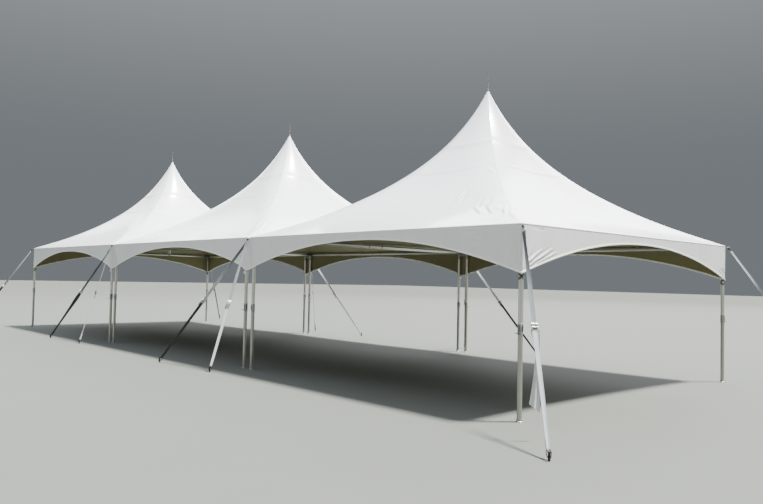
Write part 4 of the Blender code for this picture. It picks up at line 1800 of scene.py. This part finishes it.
@dataclass
class Beams:
    """Eave tubes, single on the outer sides and clamped in pairs between the bays."""

    clamp_spacing: float = 0.360
    clamp_width: float = 0.040
    clamp_gap: float = 0.008
    strap: float = 0.004
    eye_radius: float = 0.014
    eye_drop: float = 0.084

    def tube(self) -> Shape:
        """One beam along X about the origin, with its spring buttons.

        Returns:
            The beam.
        """
        half = PLAN.leg_line - PLAN.head_arm - PLAN.seat
        radius = PLAN.tube_radius
        rings = [(radius, place) for place in np.linspace(-half + 0.001, half - 0.001, 30)]
        rings = [(radius - 0.001, -half), *rings, (radius - 0.001, half)]
        parts = [turned(rings, 36).placed(aimed(Vector(), ALONG))]
        button = turned([(0.0055, 0.0), (0.0055, 0.003), (0.004, 0.005), (0.002, 0.0058)], 16)
        for end in (-1, 1):
            seat = Vector((end * (half - 0.055), 0, -radius + 0.0015))
            parts.append(button.placed(aimed(seat, -UP)).coated(1))
        return Shape.joined(parts)

    def hoop(self, centre: Vector, radius: float, outline: np.ndarray, steps: int) -> Shape:
        """A closed hoop that stands across Y.

        Args:
            centre: Its centre.
            radius: Its radius.
            outline: The outline of its bar.
            steps: Points along it.

        Returns:
            The hoop.
        """
        angle = steps_round(steps)
        path = np.array(centre) + radius * np.stack([np.cos(angle), 0 * angle, np.sin(angle)], -1)
        return swept(path, BACKWARDS, outline, closed=True)

    def saddle(self) -> Shape:
        """A clamp over two tubes, with its bolt.

        Returns:
            The clamp, with its middle at the origin.
        """
        radius = PLAN.tube_radius + 0.0015
        strap = round_rectangle(self.clamp_width, self.strap, 0.0012, 3)
        span = round_rectangle(2 * PLAN.half_pair - 1.2 * radius, self.clamp_width, 0.006)
        parts = []
        for side in (-1, 1):
            parts.append(self.hoop(ALONG * side * PLAN.half_pair, radius, strap, 40))
            parts.append(prism(span, self.strap, 0.001).moved(z=side * (self.clamp_gap + self.strap) / 2))
            parts.append(bolt(0.009, 0.009).placed(aimed(UP * side * 0.008, UP * side)))
        parts.append(bar(UP * -0.072, UP * 0.020, 0.005, 16))
        parts.append(self.hoop(UP * -self.eye_drop, self.eye_radius, circle(0.004, 10), 24))
        return Shape.joined(parts).coated(1)

    def build(self, wardrobe: Wardrobe) -> None:
        """Places the eight outer beams and the two pairs between the bays.

        Args:
            wardrobe: The finishes.
        """
        finishes = [wardrobe.tube, wardrobe.zinc]
        tube = self.tube()
        for bay in Bay:
            for row in Row:
                where = f"{bay.word}_bay_{row.word}"
                shape = tube.moved(bay.centre, row.value * PLAN.leg_line, PLAN.head_height)
                shape.piece(f"eave_tube_{where}", finishes, Slot.TUBE, f"eave_beam_{where}")
        tube, saddle = tube.placed(Matrix.Rotation(math.pi / 2, 4, "Z")), self.saddle()
        parts = [tube.moved(side * PLAN.half_pair) for side in (-1, 1)]
        parts += [saddle.moved(y=side * self.clamp_spacing / 2) for side in (-1, 1)]
        for name, node, shape, x in (
            ("eave_tube_{}_end", "eave_beam_{}_end", tube, PLAN.end_line),
            ("valley_tubes_{}", "valley_beams_{}", Shape.joined(parts), PLAN.pitch / 2),
        ):
            for hand in Hand:
                placed = shape.moved(hand.value * x, z=PLAN.head_height)
                placed.piece(name.format(hand.word), finishes, Slot.TUBE, node.format(hand.word))
        LOG.info("beams: eight single and two pairs")


@dataclass
class KingPole:
    """The pole under a peak, with its cap and the finial above the cloth."""

    bay: Bay
    finial: float = 0.290

    def build(self, wardrobe: Wardrobe) -> None:
        """Makes the pole.

        Args:
            wardrobe: The finishes.
        """
        base = PLAN.eave_height - PLAN.hub_drop + PLAN.hub_thickness / 2 + PLAN.seat
        radius, peak = PLAN.tube_radius, PLAN.peak_height
        top = peak + self.finial
        pole = [
            (radius + 0.003, base), (radius + 0.006, base + 0.003), (radius + 0.006, base + 0.040),
            (radius + 0.0005, base + 0.046),
            *[(radius, height) for height in np.linspace(base + 0.060, peak - 0.150, 20)],
            (radius - 0.004, peak - 0.135), (0.0150, peak - 0.070), (0.0105, peak - 0.030), (0.0085, peak),
        ]
        collar = [
            (0.0150, peak - 0.028), (0.0155, peak - 0.010), (0.0140, peak + 0.002), (0.0095, peak + 0.012)
        ]
        spike = [
            (0.0080, peak + 0.006), (0.0080, peak + 0.045), (0.0095, peak + 0.050), (0.0095, peak + 0.058),
            (0.0072, peak + 0.066), (0.0060, peak + 0.170), (0.0045, top - 0.020), (0.0020, top - 0.004),
            (0.0008, top),
        ]
        parts = [turned(pole, 36), turned(collar, 32).coated(1), turned(spike, 24).coated(2)]
        finishes = [wardrobe.tube, wardrobe.casting, wardrobe.zinc]
        shape = Shape.joined(parts).moved(self.bay.centre)
        where = f"{self.bay.word}_bay"
        shape.piece(f"king_post_{where}", finishes, Slot.TUBE, f"king_pole_{where}")


@dataclass
class CableCross:
    """Four wire ropes from a bay's corners to the hub that carries its king pole."""

    bay: Bay
    hub_radius: float = 0.055
    rope_radius: float = 0.005
    fitting_length: float = 0.26

    def end_fitting(self) -> Shape:
        """A turnbuckle along Z from the origin: fork, body and swaged sleeve.

        Returns:
            The fitting.
        """
        length = self.fitting_length
        body_end = [(0.006, 0.0), (0.010, 0.005), (0.0105, 0.025), (0.0085, 0.033)]
        body = mirrored(body_end, 0.045, length - 0.067)
        sleeve = [
            (0.0055, length - 0.070), (0.0075, length - 0.060), (0.0075, length - 0.010), (0.0058, length)
        ]
        parts = [turned(body, 20), turned(sleeve, 16), turned([(0.005, 0.020), (0.005, 0.060)], 12)]
        cheek = prism(round_rectangle(0.020, 0.050, 0.009), 0.004, 0.0008)
        for side in (-1, 1):
            parts.append(cheek.placed(axes_at(Vector((0, side * 0.0058, 0.014)), ALONG, UP)))
        return Shape.joined([*parts, bar(BACKWARDS * -0.012, BACKWARDS * 0.012, 0.004, 12)]).coated(1)

    def build(self, wardrobe: Wardrobe) -> None:
        """Makes the cross.

        Args:
            wardrobe: The finishes.
        """
        height = PLAN.eave_height - PLAN.hub_drop
        radius = self.hub_radius
        half = PLAN.hub_thickness / 2
        hub = [
            (radius - 0.010, -half), (radius - 0.004, 0.003 - half),
            *mirrored([(radius - 0.002, 0.012), (radius - 0.016, 0.020)], -half, half),
            (radius, half - 0.004), (radius - 0.003, half),
        ]
        swage = turned(mirrored([(0.0060, 0.0), (0.0080, 0.006)], 0.0, 0.066), 16).coated(1)
        fitting = self.end_fitting()
        reach = PLAN.leg_line - (PLAN.inner_lug - 0.012) / math.sqrt(2)
        parts = [turned(hub, 40).coated(2)]
        for row, hand in CORNERS:
            end = Vector((hand.value * reach, row.value * reach, PLAN.head_height - PLAN.cable_drop - height))
            way = end.normalized()
            path = np.linspace(way * (radius - 0.020), end - way * (self.fitting_length - 0.010), 40)
            parts.append(swept(path, UP, circle(self.rope_radius, 12)))
            parts += [fitting.placed(aimed(end, -way)), swage.placed(aimed(way * (radius - 0.006), way))]
        shape = Shape.joined(parts).moved(self.bay.centre, z=height)
        finishes = [wardrobe.rope, wardrobe.zinc, wardrobe.casting]
        where = f"{self.bay.word}_bay"
        shape.piece(f"rope_cross_{where}", finishes, Slot.STEEL, f"cable_cross_{where}")


@dataclass
class Stake:
    """A driven steel stake with a hammered head."""

    name: str
    foot: Vector
    radius: float = 0.0135
    height: float = 0.095
    head: float = 0.022

    def build(self, wardrobe: Wardrobe) -> None:
        """Makes the part of the stake that stands above the ground.

        Args:
            wardrobe: The finishes.
        """
        top, head = self.height, self.head
        profile = [
            (self.radius, 0.0), (self.radius, 0.030), (self.radius, top - 0.020), (head - 0.003, top - 0.014),
            (head, top - 0.010), (head + 0.0006, top - 0.006), (head - 0.002, top - 0.002), (head * 0.5, top),
        ]
        turned(profile, 24).moved(*self.foot).piece(f"stake_{self.name}", [wardrobe.forged], Slot.STEEL)


@dataclass
class Guy:
    """One webbing guy from a head's eye to its stake, with a ratchet in its run."""

    name: str
    eye: Vector
    pin: Vector
    foot: Vector
    facing: tuple[float, float, float]
    ring_lean: float
    bundle: float = 0.0
    link_length: float = 0.085
    link_width: float = 0.046
    shackle_length: float = 0.044
    low_link: float = 0.075
    wire: float = 0.0045
    width: float = 0.050
    thickness: float = 0.003
    ratchet_at: float = 0.480
    end_height: float = 0.040

    def link(self, start: Vector, way: Vector, across: Vector, length: float, width: float) -> Shape:
        """A pear shaped wire link.

        Args:
            start: Centre of the wire at its narrow end.
            way: From the narrow end to the wide one.
            across: Direction of its width.
            length: Length between the wire's centres.
            width: Width between the wire's centres.

        Returns:
            The link.
        """
        angle = steps_round(40)
        side = width / 2 * np.sin(angle) * (0.82 - 0.30 * np.cos(angle))
        path = np.array(start) + np.outer(side, across) + np.outer(length / 2 * (1 - np.cos(angle)), way)
        return swept(path, across.cross(way), circle(self.wire, 12), closed=True)

    def sewn_end(self) -> list[tuple[float, float]]:
        """The sewn tail of a band, its turn round the bar and the layer over the tail.

        Returns:
            Distance along the run and off its face at each point.
        """
        turn = self.wire + self.thickness / 2
        layer = self.thickness * 0.65
        arc = [(-turn * math.cos(a), turn * math.sin(a)) for a in np.linspace(-math.pi / 2, math.pi / 2, 9)]
        tail = [(0.130, -layer), (0.070, -layer), (0.030, -turn * 0.75)]
        return [*tail, *arc, (0.030, turn * 0.75), (0.070, layer), (0.120, layer), (0.150, 0.0)]

    def band(
        self, origin: Vector, way: Vector, across: Vector, length: float, curls: tuple[float, float],
        widths: tuple[float, float], start: Vector, bundle: float = 0.0,
    ) -> Shape:
        """A run of webbing, sewn round the bar it starts from.

        Args:
            origin: Centre of that bar.
            way: Direction of the run.
            across: Direction of its width at its end.
            length: Its length.
            curls: How far it curls at its start and at its end.
            widths: Its width at its start and at its end.
            start: Direction of its width at the bar.
            bundle: How much wider it is where its loose end is wound round it.

        Returns:
            The band.
        """
        rest = [(distance, 0.0) for distance in np.linspace(0.2, length, 30)]
        line = np.array([*self.sewn_end(), *rest])
        twist = math.atan2(way.dot(across.cross(start)), across.dot(start))
        twist = (twist + math.pi / 2) % math.pi - math.pi / 2
        calm = np.clip((line[:, 0] - 0.15) / (length - 0.30), 0, 1)
        angle = twist * (1 - calm * calm * (3 - 2 * calm))
        side = np.outer(np.cos(angle), across) + np.outer(np.sin(angle), way.cross(across))
        outlines = []
        for share in np.clip(line[:, 0] / length, 0, 1):
            place = 1 - (1 - share) ** 2
            width = widths[0] + (widths[1] - widths[0]) * place + bundle * math.sin(math.pi * share**4)
            outlines.append(ribbon(width, self.thickness, curls[0] + (curls[1] - curls[0]) * place))
        flat = ribbon(self.width, self.thickness)
        marks = np.stack([flat[:, 0], np.sign(flat[:, 1])], -1)
        path = np.array(origin) + np.outer(line[:, 0], way) + np.outer(line[:, 1], Vector(side[0]).cross(way))
        return swept(path, side, np.array(outlines), marks)

    def ratchet(self) -> Shape:
        """The ratchet, with X across the band, Y up the run and Z away from the marquee.

        Returns:
            Plates, spool and bars in plated steel, webbing on the spool and a black grip.
        """
        cheek = prism(np.array([
            (-0.046, -0.012), (-0.030, -0.017), (0.026, -0.017), (0.046, -0.004), (0.048, 0.010),
            (0.036, 0.021), (0.012, 0.024), (-0.020, 0.015), (-0.044, 0.004),
        ]), 0.003, 0.0007)
        teeth = 0.0165 + 0.0016 * np.sign(np.sin(np.linspace(0, math.tau * 12, 96, endpoint=False)))
        wheel = pierced_plate(0.005, teeth, 0.003, 0.0004)
        parts = []
        for side in (-1, 1):
            parts.append(cheek.placed(axes_at(ALONG * side * 0.0335, BACKWARDS, UP)))
            parts.append(wheel.placed(axes_at(Vector((side * 0.0375, 0.004, 0.003)), BACKWARDS, UP)))
        for y, z in ((0.041, 0.004), (-0.040, -0.002)):
            parts.append(bar(Vector((-0.0375, y, z)), Vector((0.0375, y, z)), 0.0055))
        for y, z in ((0.018, 0.021), (-0.018, 0.016)):
            path = np.linspace((-0.036, y, z), (0.036, y, z), 6)
            parts.append(swept(path, BACKWARDS, round_rectangle(0.020, 0.016, 0.0075)))
        spool = np.linspace((-0.030, 0.002, 0.004), (0.030, 0.002, 0.004), 6)
        marks = np.stack([circle(0.02, 24)[:, 0], np.ones(24)], -1)
        parts.append(swept(spool, BACKWARDS, circle(0.0145, 24), marks).coated(1))
        grip = np.array([
            (-0.034, -0.046, -0.004), (-0.036, -0.075, -0.007), (-0.034, -0.105, -0.006),
            (-0.031, -0.125, -0.002),
        ])
        parts.append(swept(grip, ALONG, round_rectangle(0.013, 0.008, 0.0035)).coated(2))
        return Shape.joined(parts)

    def build(self, wardrobe: Wardrobe, high_web: Material, low_web: Material, node: str | None) -> Matrix:
        """Makes the links, webbing, ratchet and stake.

        Args:
            wardrobe: The finishes.
            high_web: Finish of the webbing above the ratchet.
            low_web: Finish of the webbing below it.
            node: The solid that it stands for, if it is the first of its guys.

        Returns:
            Where the ratchet is, with the ratchet's axes turned half round Z.
        """
        end = self.foot + UP * self.end_height
        pull = end - self.eye
        down = (pull - self.pin * pull.dot(self.pin)).normalized()
        hung = self.eye + down * (PLAN.lug_hole - self.wire - 0.0004)
        bottom = hung + down * self.link_length
        way = (end - bottom).normalized()
        run = (end - bottom).length * self.ratchet_at
        across = way.cross(Vector(self.facing)).normalized()
        middle = bottom + way * run
        block_at = self.eye + down * 0.006 + self.pin.cross(down) * 0.010
        block = prism(round_rectangle(0.030, 0.026, 0.006), 0.014, 0.003)
        block = block.placed(axes_at(block_at, self.pin, down))
        screws = [
            bolt(0.008, 0.008).placed(aimed(self.eye + side * 0.0035, side)) for side in (self.pin, -self.pin)
        ]
        ring_across = Matrix.Rotation(math.radians(self.ring_lean), 3, way) @ self.pin.cross(way).normalized()
        ring_top = hung + down * (self.shackle_length - 0.004)
        links = [
            self.link(hung, down, self.pin, self.shackle_length, 0.030), block, *screws,
            self.link(ring_top, down, ring_across, self.link_length - 0.040, self.link_width).coated(1),
            self.link(end + way * 0.026, -way, across, self.low_link + 0.026, 0.060).coated(2),
        ]
        finishes = [wardrobe.black_steel, wardrobe.zinc, wardrobe.forged]
        Shape.joined(links).piece(f"links_{self.name}", finishes, Slot.STEEL)
        upper = self.band(bottom, way, across, run, (0.6, 0.25), (0.048, 0.051), ring_across)
        upper.piece(f"upper_strap_{self.name}", [high_web], Slot.WEBBING, node, 50.0)
        low_end = end - way * self.low_link
        run = (low_end - middle).length
        lower = self.band(low_end, -way, -across, run, (2.2, 0.2), (0.044, 0.050), across, self.bundle)
        lower.piece(f"lower_strap_{self.name}", [low_web], Slot.WEBBING, crease=50.0)
        place = axes_at(middle, -across, -way)
        finishes = [wardrobe.plated, low_web, wardrobe.grip]
        self.ratchet().placed(place).piece(f"ratchet_{self.name}", finishes, Slot.STEEL)
        Stake(self.name, self.foot).build(wardrobe)
        return place


@dataclass
class Guys:
    """All the guys of the marquee.

    What a strap faces and the lean of its ring, in degrees, follow from how each one twists.
    """

    corner_out: float = 1.300
    front_feet: tuple[float, float] = (-1.750, 0.050)
    back_feet: tuple[float, float] = (1.550, -0.600)
    out: tuple[float, float] = (0.850, 0.770)
    bundle: float = 0.034

    def corners(self, wardrobe: Wardrobe) -> Matrix:
        """Makes the guys of the four corners.

        Args:
            wardrobe: The finishes.

        Returns:
            Where the front right one's ratchet is.
        """
        twists = (
            ((0.0, 0.0, 1.0), -34.0), ((0.3, -0.9, 0.3), -32.0),
            ((0.5, -0.8, 0.3), 0.0), ((0.9, -0.35, 0.3), 35.0),
        )
        outwards = Vector((1, -1, 0)).normalized()
        eye = Vector((PLAN.leg_line, -PLAN.leg_line, PLAN.head_height))
        eye += outwards * (math.sqrt(2) * PLAN.inset + PLAN.guy_lug - PLAN.lug_margin)
        foot = Vector((PLAN.half + self.corner_out, -PLAN.half - self.corner_out, 0))
        places = []
        for quarter, (row, hand) in enumerate(CORNERS):
            turn = Matrix.Rotation(quarter * math.pi / 2, 3, "Z")
            shift = ALONG * hand.value * PLAN.pitch
            where = f"corner_{row.word}_{hand.word}"
            pin = turn @ UP.cross(outwards)
            guy = Guy(where, shift + turn @ eye, pin, shift + turn @ foot, *twists[quarter])
            # The near corner's upper strap is the darker copy with painted shade.
            high_web = wardrobe.strap if quarter else wardrobe.oiled_strap
            low_web = wardrobe.strap if hand is Hand.RIGHT else wardrobe.dark_strap
            places.append(guy.build(wardrobe, high_web, low_web, where.replace("corner", "corner_guy")))
        return places[0]

    def junctions(self, wardrobe: Wardrobe) -> None:
        """Makes the long and the short guy of each junction.

        Args:
            wardrobe: The finishes.
        """
        near, far, edgewise = (0.90, -0.42, 0.25), (0.45, -0.85, 0.30), (-0.42, -0.88, 0.20)
        strap, painted_shade, lit_and_shaded = wardrobe.strap, wardrobe.oiled_strap, wardrobe.greased_strap
        dark, pale = wardrobe.dark_strap, wardrobe.pale_strap
        # Each guy has what it faces, its ring's lean, its upper and its lower webbing. The front long guys'
        # upper webbing carries painted shade, the right one on a lighter copy that is painted light.
        looks = {
            (Row.FRONT, Hand.LEFT): ((near, -48.0, painted_shade, dark), (edgewise, -50.0, strap, pale)),
            (Row.FRONT, Hand.RIGHT): ((near, 15.0, lit_and_shaded, dark), (near, -28.0, strap, pale)),
            (Row.BACK, Hand.LEFT): ((far, 15.0, strap, pale), (edgewise, -45.0, strap, dark)),
            (Row.BACK, Hand.RIGHT): ((far, 15.0, strap, dark), (far, 0.0, strap, pale)),
        }
        for (row, hand), pair in looks.items():
            x = hand.value * PLAN.pitch / 2
            eye = Vector((x, row.value * (PLAN.half + PLAN.guy_lug - PLAN.lug_margin), PLAN.head_height))
            where = f"{row.word}_{hand.word}"
            feet = self.front_feet if row is Row.FRONT else self.back_feet
            nodes = (f"junction_guys_{where}", None)
            bundles = (self.bundle if where == "front_left" else 0.0, 0.0)
            for kind, step, out, node, bundle, look in zip(
                ("long", "short"), feet, self.out, nodes, bundles, pair
            ):
                foot = Vector((x + step, row.value * (PLAN.half + out), 0))
                guy = Guy(f"{kind}_{where}", eye, ALONG, foot, *look[:2], bundle)
                guy.build(wardrobe, *look[2:], node)


@dataclass
class LooseTail:
    """The loose end of the near guy's webbing, which hangs from its ratchet."""

    length: float = 0.800
    slant: float = 0.085
    top_width: float = 0.038
    width: float = 0.118
    thickness: float = 0.0022
    columns: int = 25
    rows: int = 46
    area_share: float = 0.62

    def build(self, wardrobe: Wardrobe, ratchet: Matrix) -> None:
        """Makes the hanging end.

        Args:
            wardrobe: The finishes.
            ratchet: Where the ratchet is.
        """
        across, up_run, outer = ratchet.to_3x3().transposed()
        facing = across.cross(UP).normalized()
        if facing.dot(outer) < 0:
            facing = -facing
        right = UP.cross(facing)
        top = np.array(ratchet.translation - up_run * 0.040 + facing * 0.014)
        u = np.linspace(-1, 1, self.columns)
        grid = []
        for share in np.linspace(0, 1, self.rows):
            spread = share**2.2
            width = self.top_width + (self.width - self.top_width) * spread
            drop = (self.length + self.slant * (u + 1) / 2) * share
            pleat = 0.010 * spread * np.cos(u * 5.2 + 0.6) + 0.006 * math.sin(share * 7.0)
            off = 0.006 + pleat + 0.020 * share
            beside_top = 0.030 * (1 - spread) + u * width / 2
            grid.append(top + np.outer(beside_top, right) - np.outer(drop, UP) + np.outer(off, facing))
        points = np.concatenate(grid)
        faces = quads(np.arange(len(points)).reshape(self.rows, self.columns))
        marks = np.tile(np.stack([u * 0.024, 0 * u + 1, 0 * u], -1), (self.rows, 1))
        marks[:, 2] = np.repeat(np.linspace(0, self.length, self.rows), self.columns)
        shape = Shape.skins(points, points - self.thickness * normals(points, faces), faces, marks).coated(0)
        name, node = "loose_webbing_front_right", "guy_tail_front_right"
        tail = shape.piece(name, [wardrobe.pale_strap], Slot.WEBBING, node, 50.0)
        LOG.info("loose webbing: %.2f m", self.length)


@dataclass
class TipTie:
    """The band that ties a valance's tip to its leg."""

    name: str
    centre: Vector
    radius: float
    turns: int
    clip_size: tuple[float, float]
    band_width: float
    tilt: float = 0.035
    thickness: float = 0.0018

    def build(self, finishes: Sequence[Material], facing: Vector) -> None:
        """Makes the tie.

        Args:
            finishes: The band's finish and the clip's.
            facing: The way that its clip faces.
        """
        angle = steps_round(40)
        radial = np.stack([np.cos(angle), np.sin(angle), 0 * angle], -1)
        flat = round_rectangle(self.thickness, self.band_width, self.thickness * 0.4, 3)
        marks = np.stack([flat[:, 1], np.ones(len(flat))], -1)
        lean = np.sin(angle - math.atan2(facing.y, facing.x))
        parts = []
        for tilt in (-self.tilt, self.tilt) if self.turns == 2 else (0.0,):
            ring = np.array(self.centre) + self.radius * radial + np.outer(tilt * lean, UP)
            parts.append(swept(ring, radial, flat, marks, closed=True))
        clip = prism(round_rectangle(*self.clip_size, 0.005), 0.008, 0.0015)
        seat = self.centre + facing * (self.radius + 0.004)
        parts.append(clip.placed(axes_at(seat, UP.cross(facing), UP)).coated(1))
        Shape.joined(parts).piece(self.name, finishes, Slot.WEBBING)


def tie_tips(wardrobe: Wardrobe) -> None:
    """Ties every valance tip to its leg: grey bands at the corners, white ones between bays."""
    for row in Row:
        for hand in Hand:
            where = f"{row.word}_{hand.word}"
            y = row.value * PLAN.leg_line
            centre = Vector((hand.value * PLAN.end_line, y, 1.782))
            tie = TipTie(f"tip_tie_corner_{where}", centre, 0.0335, 2, (0.026, 0.018), 0.030)
            tie.build([wardrobe.tie, wardrobe.grip], Vector((hand.value, row.value, 0)).normalized())
            centre = Vector((hand.value * PLAN.pitch / 2 - PLAN.half_pair, y, 1.778))
            tie = TipTie(f"tip_tie_junction_{where}", centre, 0.0345, 1, (0.078, 0.044), 0.044)
            tie.build([wardrobe.clip, wardrobe.clip], BACKWARDS * row.value)
    LOG.info("tip ties: eight")


def main() -> None:
    """Builds the studio and every piece of the marquee."""
    logging.basicConfig(level=logging.INFO, format="%(message)s")
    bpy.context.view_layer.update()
    Studio().build()
    wardrobe = Wardrobe()
    for bay in Bay:
        Canopy(bay).build(wardrobe)
    for hand in Hand:
        JoiningStrip(hand).build(wardrobe)
    for bay in Bay:
        for row in Row:
            for hand in Hand:
                Leg(bay, row, hand).build(wardrobe)
    LOG.info("legs: twelve")
    Head().build(wardrobe)
    Beams().build(wardrobe)
    for bay in Bay:
        KingPole(bay).build(wardrobe)
        CableCross(bay).build(wardrobe)
    LOG.info("king poles and cable crosses: three of each")
    near_ratchet = Guys().corners(wardrobe)
    Guys().junctions(wardrobe)
    LOG.info("guys: twelve")
    LooseTail().build(wardrobe, near_ratchet)
    tie_tips(wardrobe)


if __name__ == "__main__":
    main()
